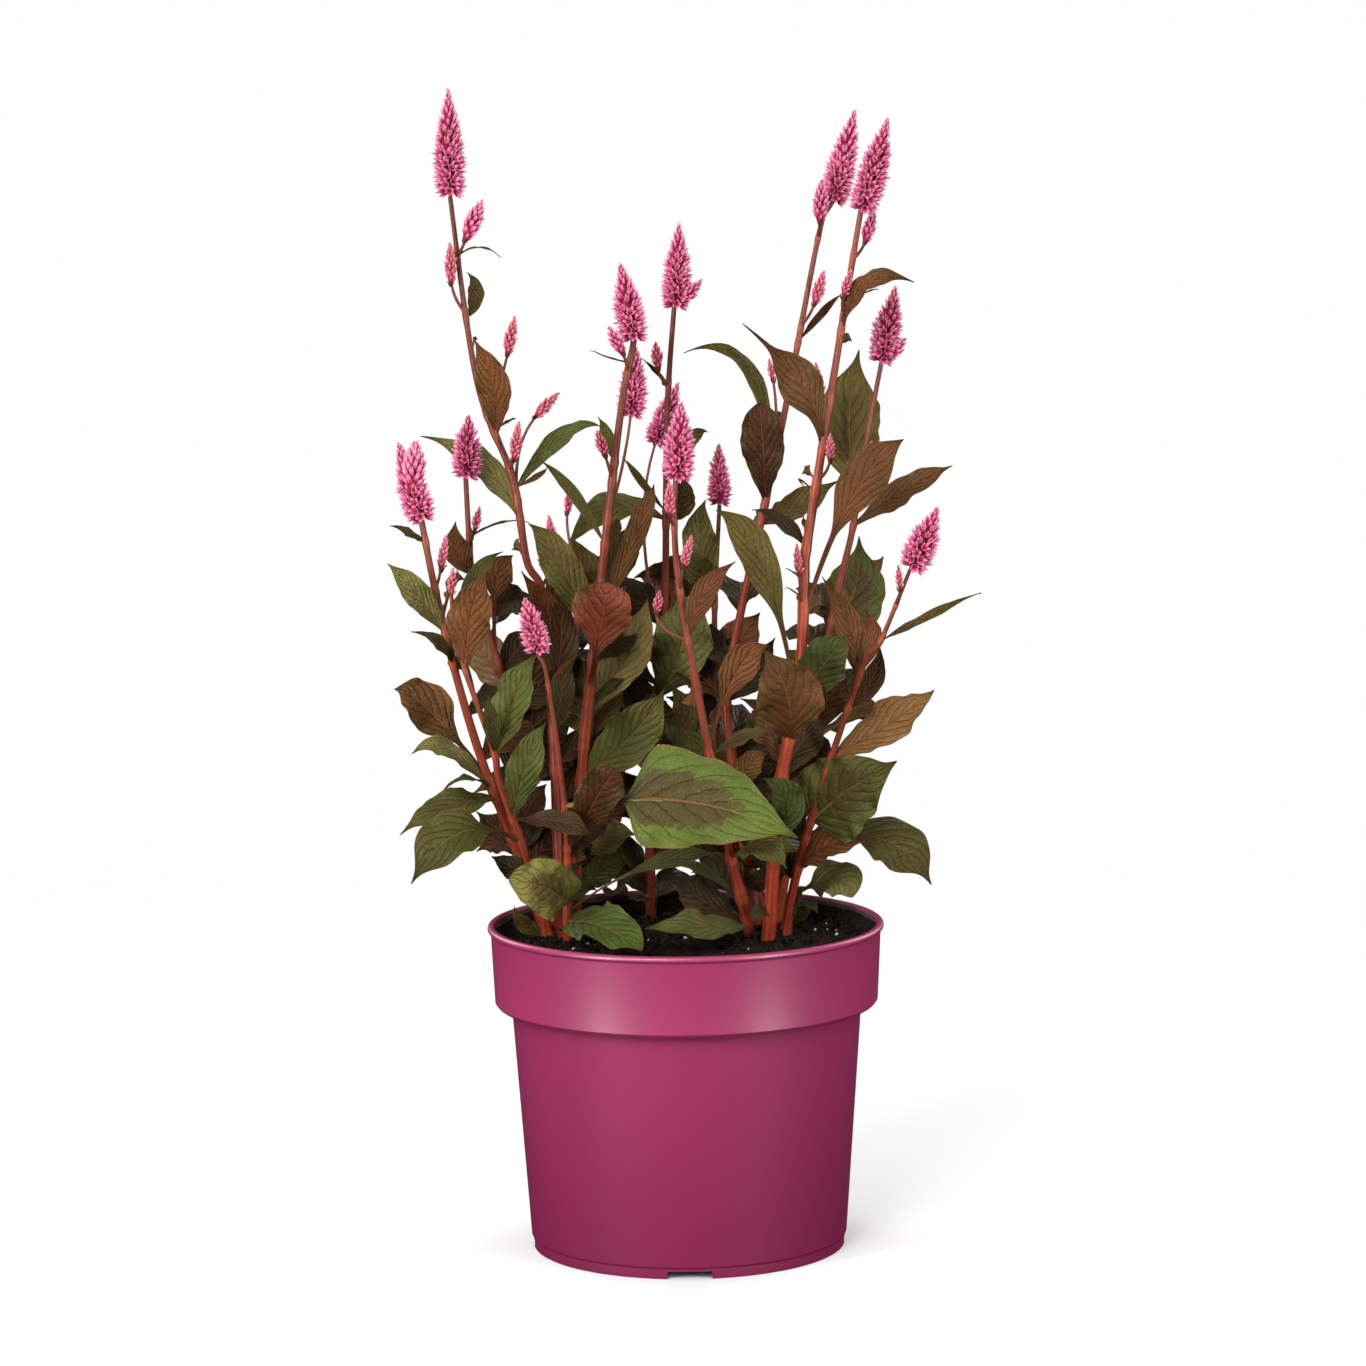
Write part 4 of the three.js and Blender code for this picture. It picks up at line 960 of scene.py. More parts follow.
def smooth_path(points, count):
    """A smooth line through the points, evenly spaced."""
    given = array_of(points)
    ends = np.vstack([2 * given[0] - given[1], given, 2 * given[-1] - given[-2]])
    dense = []
    for a, b, c, d in zip(ends, ends[1:], ends[2:], ends[3:]):
        for share in np.linspace(0, 1, 24, endpoint=False):
            dense.append(0.5 * (2 * b + (c - a) * share + (2 * a - 5 * b + 4 * c - d) * share ** 2
                                + (3 * b - a - 3 * c + d) * share ** 3))
    dense = np.vstack([dense, given[-1:]])
    run = np.concatenate([[0], np.cumsum(np.linalg.norm(np.diff(dense, axis=0), axis=1))])
    even = np.linspace(0, run[-1], count)
    return np.stack([np.interp(even, run, dense[:, axis]) for axis in range(3)], axis=1)


def bow(start, pull, end, share):
    """Points and directions of the curve that pull bends, at the shares."""
    share = share[:, None]
    points = start * (1 - share) ** 2 + pull * 2 * share * (1 - share) + end * share ** 2
    along = unit((pull - start) * (1 - share) + (end - pull) * share)
    return points, along


def copy_moved(pattern, name, move, tint, **marks):
    """A copy of the pattern with its own mesh, each vertex where move puts it, in mm. The tint
    and the marks are kept with the mesh for its material."""
    mesh = pattern.data.copy()
    count = len(mesh.vertices)
    rest = np.empty(count * 3, dtype=np.float32)
    mesh.vertices.foreach_get("co", rest)
    rest = rest.reshape(-1, 3).astype(float)
    mesh.vertices.foreach_set("co", (move(rest) * MM).astype(np.float32).ravel())
    colours = np.ones((count, 4), dtype=np.float32)
    colours[:, :3] = tint(rest) if callable(tint) else tint
    mesh.attributes.new("tint", "FLOAT_COLOR", "POINT").data.foreach_set("color", colours.ravel())
    for mark, value in marks.items():
        layer = mesh.attributes.new(mark, "FLOAT", "POINT")
        layer.data.foreach_set("value", np.full(count, value, dtype=np.float32))
    mesh.update()
    copied = bpy.data.objects.new(name, mesh)
    bpy.context.collection.objects.link(copied)
    return copied


def tube_pattern(name, sides, rings, ribbed):
    """An upright tube of radius 1 and height 1, with shallow ribs where ribbed is under 1."""
    deselect()
    bpy.ops.mesh.primitive_cylinder_add(vertices=sides, radius=1, depth=1, location=(0, 0, 0.5))
    tube = bpy.context.object
    tube.name = name
    bpy.ops.object.transform_apply()
    # only the upright edges are cut, which makes the rings
    bpy.ops.object.mode_set(mode="EDIT")
    bpy.ops.mesh.select_mode(type="EDGE")
    bpy.ops.mesh.select_all(action="DESELECT")
    bpy.ops.object.mode_set(mode="OBJECT")
    for side in tube.data.edges:
        low, high = (tube.data.vertices[k].co.z for k in side.vertices)
        side.select = abs(low - high) > 0.5
    bpy.ops.object.mode_set(mode="EDIT")
    bpy.ops.mesh.subdivide(number_cuts=rings - 1)
    bpy.ops.object.mode_set(mode="OBJECT")
    for vertex in tube.data.vertices:
        turn = math.atan2(vertex.co.y, vertex.co.x) / (2 * math.pi) * sides
        if round(turn) // 2 % 2:
            vertex.co.x *= ribbed
            vertex.co.y *= ribbed
    smooth(tube, 50)
    return tube


def blade_pattern(name, half_columns, rows):
    """A flat blade 2 wide, 1 long and 1 thick, its top at height 0. Its map runs from edge to
    edge and from foot to tip."""
    columns = [-x for x in half_columns[:0:-1]] + half_columns
    deselect()
    bpy.ops.mesh.primitive_grid_add(x_subdivisions=len(columns) - 1, y_subdivisions=rows, size=2)
    blade = bpy.context.object
    blade.name = name
    for vertex in blade.data.vertices:
        step = round((vertex.co.x + 1) / 2 * (len(columns) - 1))
        vertex.co = (columns[step], (vertex.co.y + 1) / 2, 0)
    for loop, point in zip(blade.data.loops, blade.data.uv_layers.active.data):
        place = blade.data.vertices[loop.vertex_index].co
        point.uv = (0.5 + 0.5 * place.x, place.y)
    apply_modifier(blade, "SOLIDIFY", thickness=1, offset=-1)
    for face in blade.data.polygons:
        face.material_index = int(face.normal.z < -0.5)
    smooth(blade, 50)
    return blade


broad_blade = blade_pattern("broad_blade", [0, 0.05, 0.16, 0.32, 0.5, 0.68, 0.85, 1], 44)
inner_blade = blade_pattern("inner_blade", [0, 0.12, 0.4, 0.75, 1], 22)
narrow_blade = blade_pattern("narrow_blade", [0, 0.1, 0.5, 1], 20)
stem_tube = tube_pattern("stem_tube", 24, 101, 0.93)
thin_tube = tube_pattern("thin_tube", 8, 12, 0.9)

growth = random.Random(5)


def bent_blade(plan, start, name, inner=False):
    """One leaf: a blade that narrows to wings along its petiole, and the petiole under it."""
    mid, end, face = (array_of(plan[key]) for key in ("mid", "tip", "face"))
    pull = 2 * mid - (start + end) / 2
    wide, cup = plan["wide"], plan["cup"]
    length = np.linalg.norm(end - start)
    stalk = plan["stalk"] if plan["stalk"] > SHORT_STALK else SHORTEST_STALK
    outline = plan["outline"]
    ripple, turn = growth.uniform(0, 2 * math.pi), growth.uniform(0, 2 * math.pi)
    hook = growth.uniform(*HOOK) * min(length, HOOKED_LENGTH)
    side_hook = growth.uniform(-SIDE_HOOK, SIDE_HOOK) * min(length, HOOKED_LENGTH)
    twist = growth.uniform(-TWIST, TWIST)
    lean = growth.uniform(-LEAN, LEAN)
    # the width narrows to a wing along the petiole, without a corner
    fine_at = np.linspace(0, 1, 80)
    blade_at = np.clip((fine_at - stalk) / (1 - stalk), 0, 1)
    fine_width = np.interp(blade_at, *zip(*outline))
    wing = np.minimum(0.06 + 0.09 * fine_at / stalk, WING / wide)
    fine_width = np.where(fine_at < stalk, wing, fine_width)
    for _ in range(6):
        fine_width[1:-1] = (fine_width[:-2] + 2 * fine_width[1:-1] + fine_width[2:]) / 4

    def frame_at(t):
        """Points along the midrib, with the ways across the blade and out of its face."""
        centre, along = bow(start, pull, end, t)
        across = unit(np.cross(along, face))
        up = np.cross(across, along)
        swing = (twist * (2 * t - 1))[:, None]
        turned_across = across * np.cos(swing) + up * np.sin(swing)
        return centre, turned_across, up * np.cos(swing) - across * np.sin(swing)

    def move(rest):
        x, v, z = rest.T
        centre, across, up = frame_at(v)
        half = np.maximum(np.interp(v, fine_at, fine_width) * wide / 2, 0.2)
        edge_turn = ripple + np.where(x > 0, 2.1, 0)
        uneven = CUT * np.sin(CUTS * v + edge_turn) + FINE_CUT * np.sin(FINE_CUTS * v + turn)
        half = half * (1 + uneven)
        away = np.abs(x)
        wave = np.minimum(WAVE * half, MOST_WAVE) * np.sin(math.pi * WAVES * v + turn)
        wave = wave * np.sign(x) * away ** 2
        curl = CURL * half * np.sin(2 * math.pi * CURLS * v + ripple + 2 * x) * away ** 3
        pucker = PUCKER * wide * np.abs(np.sin(math.pi * VEIN_PAIRS * (v - VEIN_SLANT * away)))
        # the puckers fade towards the midrib, the margin and the tip
        pucker = pucker * np.minimum(away * 5, 1) * (1.05 - away) * np.minimum(4 * (1 - v), 1)
        groove = GROOVE * wide * np.exp(-(x / GROOVE_HALF) ** 2) * (1 - v)
        rib = np.where(z < -0.5, RIB_DEPTH * np.exp(-(x / RIB_HALF) ** 2) * (1 - v), 0)
        end_bend = np.maximum(v - HOOK_FROM, 0) ** 2
        raised = cup * half * away ** 1.5 + wave + curl + pucker
        raised = raised - groove - rib - hook * end_bend + z * BLADE_THICK
        sideways = (x + lean * np.sin(math.pi * v)) * half + side_hook * end_bend
        return centre + across * sideways[:, None] + up * raised[:, None]

    shade = growth.uniform(*SHADES)
    warm = growth.uniform(-WARMTH, WARMTH)
    tint = array_of(plan["tint"]) * shade * (1 + warm, 1 - warm / 2, 1)
    blotches = {**BLOTCHES, GREEN: growth.uniform(*GREEN_BLOTCH)}
    blotch = blotches.get(plan["tint"], 0.0)
    petiole_tint = 0.4 * tint + 0.6 * array_of(STEM_HEAD)
    if plan["tint"] in GREENISH:
        petiole_tint = array_of(PETIOLE_GREEN)

    def skin(rest):
        """The leaf's colour, and the petiole's on the wings."""
        winged = np.clip((stalk - rest[:, 1]) / 0.04, 0, 1)[:, None]
        return tint * (1 - winged) + petiole_tint * winged

    pattern = narrow_blade if wide < NARROW_UNDER else inner_blade if inner else broad_blade
    parts = [copy_moved(pattern, name, move, skin, blotch=blotch)]
    reach = stalk + 0.25
    thick = min(max(0.035 * wide, 0.35), 0.9)

    def move_petiole(rest):
        x, y, t = rest.T
        centre, across, up = frame_at(t * reach)
        radius = thick * (1.15 - 0.95 * t)
        sideways, raised = x * radius, y * radius - thick * 0.8 * np.minimum(t * 3, 1)
        return centre + across * sideways[:, None] + up * raised[:, None]

    if wide > 4:
        parts.append(copy_moved(thin_tube, name + "_petiole", move_petiole, petiole_tint))
    return parts


def inner_leaf(start):
    """A dusky leaf that leans from its place on the stem into the middle of the clump."""
    inward = unit(array_of(INNER_MIDDLE) - (start[0], start[1], 0) + array_of(
        [growth.uniform(-45, 45), growth.uniform(-15, 30), 0]))
    length = growth.uniform(*INNER_LENGTH)
    rise = growth.uniform(0.1, 0.9)
    tip = start + length * unit(inward + (0, 0, rise))
    mid = start + 0.52 * length * unit(inward + (0, 0, rise + 0.35))
    face = (growth.uniform(-0.4, 0.4), 0.8 if start[1] > 60 else -0.8, growth.uniform(0.3, 0.9))
    tint = growth.choice((DARK, DARK, DARK, BROWN, BROWN, DEEP))
    return leaf(start[2], 0.1, mid, tip, 0.52 * length, tint, face)


def rear_leaf(start):
    """A leaf that reaches from its place on the stem to the back of the clump."""
    smaller = np.interp(start[2], REAR_SHRINKS, (1, REAR_SMALLEST))
    reach = min(growth.uniform(*REAR_LENGTH), REAR_EDGE - start[1]) * smaller
    way = array_of((growth.uniform(-0.5, 0.5), 0.9, growth.uniform(0.0, 0.8)))
    tip = start + reach * way
    mid = start + 0.5 * reach * way + (0, 0, 0.16 * reach)
    face = (growth.choice((-1, 1)), growth.uniform(0.0, 0.6), 0.5)
    tint = growth.choice((BRONZE, OLIVE, GREEN, GREEN, BROWN))
    return leaf(start[2], 0.15, mid, tip, 0.46 * reach, tint, face)


def along_tube(points, radii):
    """How a tube pattern is moved onto the line of points."""
    along = unit(np.gradient(points, axis=0))
    side = unit(np.cross(np.array([0.0, 1.0, 0.0]), along))
    front = np.cross(along, side)
    steps = np.linspace(0, 1, len(points))

    def pick(rows, t):
        return np.stack([np.interp(t, steps, rows[:, axis]) for axis in range(3)], axis=1)

    def move(rest):
        x, y, t = rest.T
        radius = np.interp(t, steps, radii)[:, None]
        return (pick(points, t) + pick(side, t) * radius * x[:, None]
                + pick(front, t) * radius * y[:, None])

    return move


def side_stalk(one, start, name):
    """The thin stalk of a side flower, bent up into its foot, and three bracts under it."""
    base, tip = (array_of(point) for point in one["heads"][0][:2])
    ahead = unit(tip - base)
    pull = base - 0.4 * np.linalg.norm(base - start) * ahead
    line, _ = bow(start, pull, base + 0.15 * (tip - base), np.linspace(0, 1, STALK_STEPS))
    girth = np.linspace(1.15, 0.8, STALK_STEPS) * STALK_RADIUS
    parts = [copy_moved(thin_tube, name + "_stalk", along_tube(line, girth), STEM_HEAD)]
    under = base - 1.2 * ahead
    for turn in range(3):
        sweep = 2.1 * turn + growth.uniform(0, 1)
        out = array_of((math.cos(sweep), math.sin(sweep), 0.0))
        bract = leaf(0, 0.1, under + out * 0.9 + ahead * 0.8, under + out * 1.6 + ahead * 2.4,
                     BRACT_WIDE, BRONZE, face=-out + (0, 0, 0.2), cup=0.3)
        parts += bent_blade(bract, under, name + "_bract")
    return parts


def pruned_stub(name):
    """What is left of an older stem beside this one, with its pale cut."""
    low, high = array_of(PRUNED[name])
    line = np.linspace(low, high, STUB_STEPS)
    girth = STUB_RADIUS + 0.25 * np.sin(np.linspace(0, 9, STUB_STEPS))

    def cut_bark(rest):
        return np.where(rest[:, 2:] > 0.97, CUT_COLOUR, STEM_FOOT)

    return copy_moved(thin_tube, name + "_stub", along_tube(line, girth), cut_bark)


def grown_stem(stem):
    """Stem, side stalks, leaves and small bracts of one shoot, joined."""
    name = stem["name"]
    foot = array_of(stem["path"][0])
    ends = [one["heads"][0] for one in stem["spikes"] if one["leaves_at"] is TOP]
    line = [tuple(foot - (0, 0, STEM_DEPTH)), *stem["path"]]
    if ends:
        base, tip = array_of(ends[0][0]), array_of(ends[0][1])
        line.append(tuple(base + 0.25 * (tip - base)))
    points = smooth_path(line, STEM_STEPS)
    height = np.maximum(points[:, 2] - foot[2], 0) / (stem["path"][-1][2] - foot[2])
    radii = stem["foot"] + (stem["top"] - stem["foot"]) * np.minimum(height, 1) ** 0.9
    knots = [one["leaves_at"] for one in stem["leaves"] + stem["spikes"] if one["leaves_at"]]
    swell = np.zeros(len(points))
    for knot in knots:
        swell = np.maximum(swell, np.exp(-((points[:, 2] - knot) / KNOT_HALF) ** 2))
    steps = np.linspace(0, 1, len(points))

    def bark(rest):
        """Redder at the foot, orange at the knots and lighter on the ridges, with painted light on
        the left side, painted shade on the right, and painted light and shade that differ per
        stem.
        """
        t = rest[:, 2]
        up = np.interp(t, steps, np.minimum(height, 1))[:, None]
        ring = np.interp(t, steps, swell)[:, None]
        ridge = np.hypot(rest[:, 0], rest[:, 1])[:, None] > 0.95
        colour = array_of(STEM_FOOT) * (1 - up) + array_of(STEM_HEAD) * up
        colour = colour * (1 - KNOT_SHARE * ring) + array_of(KNOT_COLOUR) * KNOT_SHARE * ring
        # painted light on the left side of each stem, painted shade on its right
        side_light = 1 - PAINTED_SIDE_LIGHT * rest[:, :1]
        # painted light and shade per stem: some stems' bark is made lighter, others darker
        return colour * side_light * np.where(ridge, RIDGE_LIGHT, FURROW_LIGHT) * BARK_PAINTED_LIGHT.get(name, 1)

    def point_at(level):
        return np.array([np.interp(level, points[:, 2], points[:, axis]) for axis in range(3)])

    girth = radii * (1 + KNOT_SWELLS * swell)
    parts = [copy_moved(stem_tube, name, along_tube(points, girth), bark)]
    for one in stem["spikes"]:
        if one["leaves_at"] is not TOP:
            parts += side_stalk(one, point_at(one["leaves_at"]), name)
    for one in stem["leaves"]:
        parts += bent_blade(one, point_at(one["leaves_at"]), name + "_leaf")
    if name in PRUNED:
        parts.append(pruned_stub(name))
    for level in range(INNER_FROM, INNER_TO, INNER_STEP):
        start = point_at(level + growth.uniform(-8, 8))
        if start[1] > INNER_BEHIND:
            parts += bent_blade(inner_leaf(start), start, name + "_inner_leaf", inner=True)
    for level in range(REAR_FROM, stem["path"][-1][2] - REAR_UNDER_TOP, REAR_STEP):
        start = point_at(level + growth.uniform(-9, 9))
        if growth.random() < REAR_SHARE:
            parts += bent_blade(rear_leaf(start), start, name + "_rear_leaf", inner=True)
    return joined(parts, "shoot_" + name)


def veined(name, underside):
    """Leaf skin: a dusky middle that greens towards the margin, fine veins and puckers."""
    material, shader, place, pattern = start_material(name)
    tint = pattern.kept("tint", 0)
    spots = pattern.kept("blotch")
    across = abs(pattern.part(0) * 2 - 1)
    run = pattern.part(1)
    wander = place.grain(160.0)
    slant = (run - across * VEIN_SLANT - across * across * 0.10) * VEIN_PAIRS + wander * 0.5
    wavy = abs((slant * math.pi).sin())
    side = (1 - wavy.between(0.0, 0.17)) * (1 - across.between(0.7, 0.98))
    midrib = 1 - across.between(0.01, 0.055)
    veins = side.math("MAXIMUM", midrib)
    net = 1 - place.cells(480.0, "DISTANCE_TO_EDGE").between(0.0, 0.14)
    mottle = place.grain(48.0, 4.0).between(0.32, 0.7)
    speckle = place.grain(420.0, 2.0).between(0.35, 0.7)
    colour = tint.mixed(tint.times(0.55), mottle * 0.6)
    flush = place.grain(22.0).between(0.46, 0.7) * (1 - spots.between(0.95, 1.0))
    colour = colour.mixed(tint.mixed(LEAF_FLUSH, 0.45), flush * 0.5)
    green_hint = across.between(0.25, 0.95) * place.grain(36.0, 4.0).between(0.35, 0.65)
    colour = colour.mixed(tint.times(0.7).mixed(LEAF_GREENED, 0.75), green_hint * 0.4)
    heart = (1 - across.between(0.15, 0.8)) * run.between(0.1, 0.34) * (1 - run.between(0.5, 0.84))
    ragged = heart + (place.grain(130.0, 6.0, 0.75) - 0.5) * 1.1 + (wavy - 0.5) * 0.25
    dusk = tint.times(0.45).mixed(LEAF_DUSK, 0.7)
    colour = colour.mixed(dusk, ragged.between(0.28, 0.46) * spots * 0.9)
    colour = colour.mixed(colour.times(0.72), speckle * 0.35)
    colour = colour.mixed(colour.times(0.62), (1 - wavy.between(0.0, 0.4)) * (1 - across) * 0.5)
    red = colour.times(0.85).mixed(VEIN_RED, 0.3)
    colour = colour.mixed(red, side * (0.6 if underside else 0.3))
    colour = colour.mixed(colour.times(1.3).mixed(MIDRIB_RED, 0.35), midrib * 0.7)
    colour = colour.mixed(colour.times(1.3), net * 0.25)
    colour = colour.mixed(MARGIN_RED, across.between(0.94, 1.0) * 0.35)
    if underside:
        colour = colour.mixed(UNDERSIDE_COPPER, 0.4)
    height = veins * (0.8 if underside else -0.9) + wavy * 0.7 + mottle * 0.5 + speckle * 0.3
    finish_material(shader, colour, 0.38 + mottle * 0.16, height - net * 0.3, 0.0007, 0.9,
                    gloss=0.13)
    return material


leaf_top = veined("leaf top", False)
leaf_under = veined("leaf underside", True)

stem_skin, shader, place, pattern = start_material("stem skin")
bark_tint = pattern.kept("tint", 0)
streaks = place.stretched((1, 1, 0.08)).grain(1400.0)
patches = place.stretched((1, 1, 0.5)).grain(90.0)
scars = place.stretched((1, 1, 0.4)).grain(300.0, 4.0)
colour = bark_tint.mixed(bark_tint.times(0.4), streaks.between(0.46, 0.7) * 0.65)
colour = colour.mixed(BARK_PATCH, patches.between(0.5, 0.72) * 0.55)
colour = colour.mixed(BARK_SCAR, scars.between(0.62, 0.75) * 0.35)
finish_material(shader, colour, 0.38 + patches * 0.15, streaks, 0.0003, gloss=0.32)

for blade in (broad_blade, inner_blade, narrow_blade):
    blade.data.materials.append(leaf_top)
    blade.data.materials.append(leaf_under)
for tube in (stem_tube, thin_tube):
    dress(tube, stem_skin)

for stem in STEMS:
    shoot = grown_stem(stem)
    settle(shoot, "stem_" + stem["name"], slot="foliage")
put_away(broad_blade, inner_blade, narrow_blade, stem_tube, thin_tube)

# ---------------------------------------------------------------- flower spikes
# A spike is a slim crimson axis set all round, on a spiral, with papery florets of narrow
# pointed petals. The lowest stand open like stars; higher up they are shut and lie closer.

# half widths of an open spike, of a side spike and of the axis inside, from foot to tip
OUTLINE = [(0, 0.82), (0.06, 1), (0.20, 1.05), (0.42, 0.95), (0.60, 0.73), (0.78, 0.44),
           (0.92, 0.19), (1, 0.05)]
SIDE_OUTLINE = [(0, 0.52), (0.12, 0.84), (0.3, 1), (0.52, 0.88), (0.75, 0.55), (0.9, 0.28),
                (1, 0.05)]
CORE_OUTLINE = [(0, 0.20), (0.03, 0.42), (0.25, 0.5), (0.5, 0.46), (0.75, 0.3), (1, 0.05)]
# the turn from one floret to the next, and florets a millimetre of spike
GOLDEN_TURN = math.radians(137.508)
FLORETS_PER_MM, SIDE_FLORETS_PER_MM, FEWEST_FLORETS = 2.15, 2.1, 18
# a head under this width is a side spike; from the second width up it is rosy at its foot
SIDE_SPIKE_UNDER, ROSY_FROM = 12, 6.8
ROSY, UNRIPE = 0.6, 0.05
# the share of a spike up to which its florets are open, and half open
OPEN_UNTIL, HALF_OPEN_UNTIL = 0.42, 0.62
# the longest floret of a spike, and of a side spike as a share of its width; the last one
LONGEST, SIDE_LONGEST = 7.2, 0.68
LAST_SHARE, LONGEST_LAST = 0.24, 4.0
# a petal is widest low down, has a shoulder higher up, is a little hollow, and stands a little
# off the floret's middle; the ring of the ball that it is shaped from has the last radius
WIDEST_AT, SHOULDER_AT, SHOULDER_WIDE = 0.32, 0.68, 0.58
HOLLOW, OFF_MIDDLE = 0.03, 0.04
BALL_RING = 0.433
# bottom and top radius and height of the pistil in the heart of an open floret
PISTIL = (0.12, 0.05, 0.5)
# petals from foot to tip, of open spikes and of young ones
CRIMSON = (0.18, 0.004, 0.024)
ROSE, ROSE_TIP = (0.50, 0.045, 0.155), (0.77, 0.330, 0.475)
SALMON, SALMON_TIP = (0.46, 0.075, 0.105), (0.68, 0.290, 0.350)
FADING_TIP = (0.70, 0.330, 0.370)
# how far a floret leans out, in degrees, along a spike
FULL_LEAN = [(0, 106), (0.08, 88), (0.3, 66), (0.55, 44), (0.8, 22), (1, 4)]
SIDE_LEAN = [(0, 44), (0.3, 34), (0.7, 20), (1, 4)]


def petal(name, wide, thick):
    """One narrow pointed petal that stands on its foot, 1 long, a little hollow inside."""
    deselect()
    bpy.ops.mesh.primitive_uv_sphere_add(segments=4, ring_count=3, radius=0.5,
                                         location=(0, 0, 0.5))
    one = bpy.context.object
    one.name = name
    bpy.ops.object.transform_apply()
    for vertex in one.data.vertices:
        x, y, z = vertex.co
        if 0.01 < z < 0.99:
            lower = z < 0.5
            reach = (1.0 if lower else SHOULDER_WIDE) / BALL_RING
            level = WIDEST_AT if lower else SHOULDER_AT
            vertex.co = (x * reach * wide / 2, y * reach * thick / 2 - HOLLOW, level)
    return one


def floret(name, petals, spread, wide, thick, heart):
    """Petals round one foot, spread by an angle, with or without a pistil in the heart."""
    one = petal(name, wide, thick)
    bpy.ops.object.mode_set(mode="EDIT")
    bpy.ops.mesh.select_all(action="SELECT")
    bpy.ops.transform.translate(value=(0, OFF_MIDDLE, 0))
    bpy.ops.transform.rotate(value=spread, orient_axis="X", center_override=(0, 0, 0))
    bpy.ops.mesh.spin(dupli=True, steps=petals - 1, angle=2 * math.pi * (petals - 1) / petals,
                      center=(0, 0, 0), axis=(0, 0, 1))
    bpy.ops.mesh.select_all(action="SELECT")
    bpy.ops.mesh.normals_make_consistent(inside=False)
    bpy.ops.object.mode_set(mode="OBJECT")
    parts = [one]
    if heart:
        deselect()
        low, high, tall = PISTIL
        bpy.ops.mesh.primitive_cone_add(vertices=5, radius1=low, radius2=high, depth=tall,
                                        location=(0, 0, tall / 2))
        pistil = bpy.context.object
        for point in pistil.data.uv_layers.active.data:
            point.uv = (0.5, 0.0)
        parts.append(pistil)
    whole = joined(parts, name)
    smooth(whole, 60)
    return whole


open_floret = floret("open_floret", 5, math.radians(-25), 0.44, 0.11, True)
half_floret = floret("half_floret", 5, math.radians(-16), 0.38, 0.13, True)
shut_floret = floret("shut_floret", 4, math.radians(-7), 0.34, 0.22, False)

petal_skin, shader, place, pattern = start_material("floret paper")
run = pattern.part(1)
ripe = pattern.kept("ripe")
crimson = place.of(CRIMSON)
pink = crimson.mixed(ROSE, run.between(0.12, 0.52))
pink = pink.mixed(ROSE_TIP, run.between(0.42, 0.97) * 0.88)
pink = pink.mixed(FADING_TIP, (1 - ripe.between(0.1, 0.4)) * run * 0.6)
salmon = crimson.mixed(SALMON, run.between(0.0, 0.4))
salmon = salmon.mixed(SALMON_TIP, run.between(0.4, 1.0) * 0.75)
colour = salmon.mixed(pink, ripe.between(0.02, 0.2))
veins_fine = abs((pattern.part(0) * 50).sin())
colour = colour.mixed(colour.times(0.72), veins_fine.between(0.6, 1.0) * 0.35)
colour = colour.mixed(colour.times(0.8), place.grain(300.0).between(0.4, 0.7) * 0.3)
finish_material(shader, colour, 0.5 + veins_fine * 0.1, veins_fine, 0.0001, 0.6, gloss=0.15)
shader.inputs["Sheen Weight"].default_value = 0.08
for floret_piece in (open_floret, half_floret, shut_floret):
    dress(floret_piece, petal_skin)

bloom = random.Random(8)


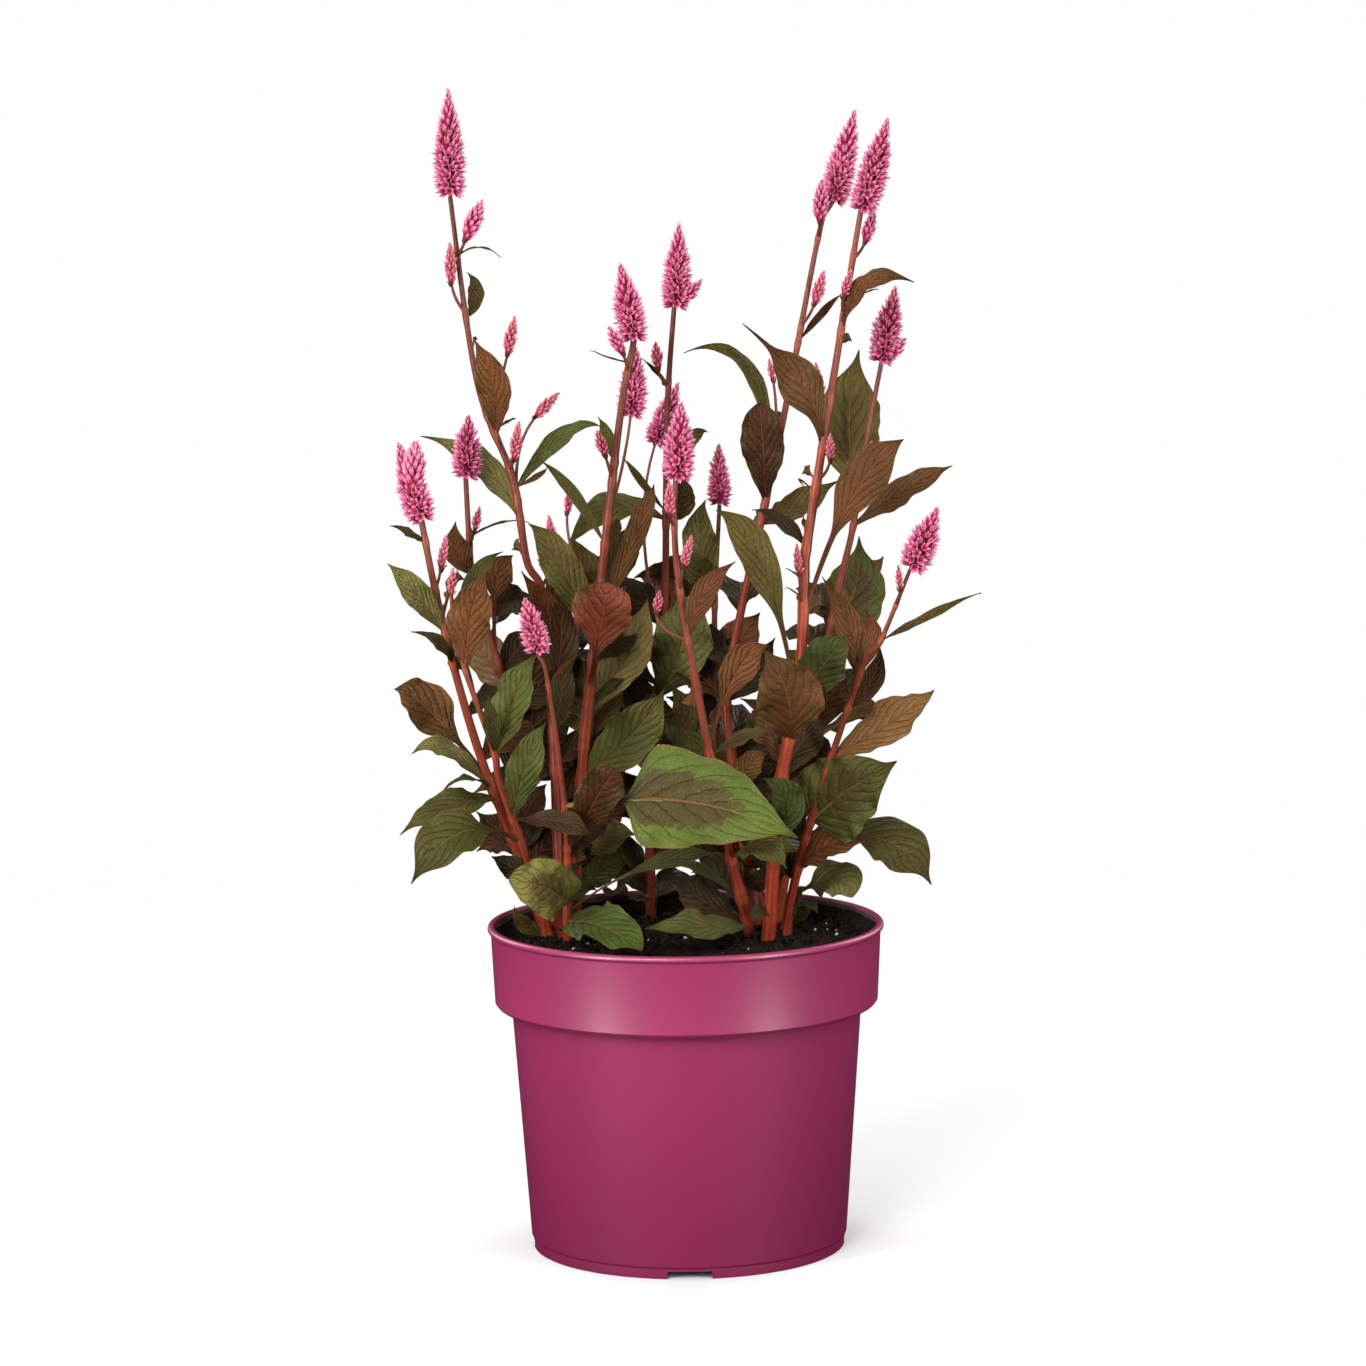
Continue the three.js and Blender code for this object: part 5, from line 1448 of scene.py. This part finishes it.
def head(base, tip, wide):
    """The florets and the axis of one flower head."""
    base, tip = array_of(base), array_of(tip)
    axis = tip - base
    length = np.linalg.norm(axis)
    along = axis / length
    side = unit(np.cross(np.array([0.0, 1.0, 0.0]), along))
    front = np.cross(along, side)
    small = wide < SIDE_SPIKE_UNDER
    rosy = ROSY if wide > ROSY_FROM else UNRIPE
    count = int(length * FLORETS_PER_MM)
    if small:
        count = max(int(length * SIDE_FLORETS_PER_MM), FEWEST_FLORETS)
    last = min(LAST_SHARE * length, LONGEST_LAST)
    outline = SIDE_OUTLINE if small else OUTLINE
    parts = []
    for k in range(count):
        share = ((k + 0.5) / count) ** 0.92
        turn = k * GOLDEN_TURN + bloom.uniform(-0.12, 0.12)
        out = side * math.cos(turn) + front * math.sin(turn)
        reach = np.interp(share, *zip(*outline)) * wide / 2 * bloom.uniform(0.96, 1.06)
        lean = np.interp(share, *zip(*(SIDE_LEAN if small else FULL_LEAN)))
        lean = math.radians(lean) + bloom.uniform(-0.08, 0.08)
        most = LONGEST * (1 - 0.45 * share)
        if small:
            most = SIDE_LONGEST * wide * (1 - 0.3 * share)
        size = max(min(0.8 * reach / max(math.sin(lean), 0.2), most), last)
        core = max(reach - size * math.sin(lean), 0)
        size *= bloom.uniform(0.94, 1.06)
        foot = base + along * share * (length - last) + out * core
        toward = out * math.sin(lean) + along * math.cos(lean)
        u = unit(np.cross(toward, side * math.cos(3 * turn) + front * math.sin(3 * turn)))
        w = np.cross(toward, u)
        shut_from = HALF_OPEN_UNTIL + bloom.uniform(-0.08, 0.08)
        used = shut_floret if small or share > shut_from else half_floret
        if not small and share < OPEN_UNTIL + bloom.uniform(-0.06, 0.06):
            used = open_floret
        stout = size * (1.05 if used is not shut_floret else 1.25 - 0.6 * share ** 3)

        def move(rest, foot=foot, u=u, w=w, toward=toward, size=size, stout=stout):
            return (foot + u * rest[:, :1] * stout + w * rest[:, 1:2] * stout
                    + toward * rest[:, 2:] * size)

        ripeness = rosy * (1 - 0.8 * share) if small else 1 - 0.9 * share
        parts.append(copy_moved(used, "floret", move, (1, 1, 1), ripe=ripeness))
    levels = np.linspace(-0.01, 0.95, 20)
    line = base + np.outer(levels, axis)
    thick = np.interp(levels, *zip(*CORE_OUTLINE)) * wide / 2
    parts.append(copy_moved(axis_tube, "axis", along_tube(line, thick), (1, 1, 1), ripe=1.0))
    return parts


axis_tube = tube_pattern("axis_tube", 10, 14, 0.86)
for point in axis_tube.data.uv_layers.active.data:
    point.uv = (0.5, 0.0)
dress(axis_tube, petal_skin)
for stem in STEMS:
    for one in stem["spikes"]:
        parts = [part for each in one["heads"] for part in head(*each)]
        settle(joined(parts, "flower_" + one["name"]), one["name"], slot="florets")
put_away(open_floret, half_floret, shut_floret, axis_tube)
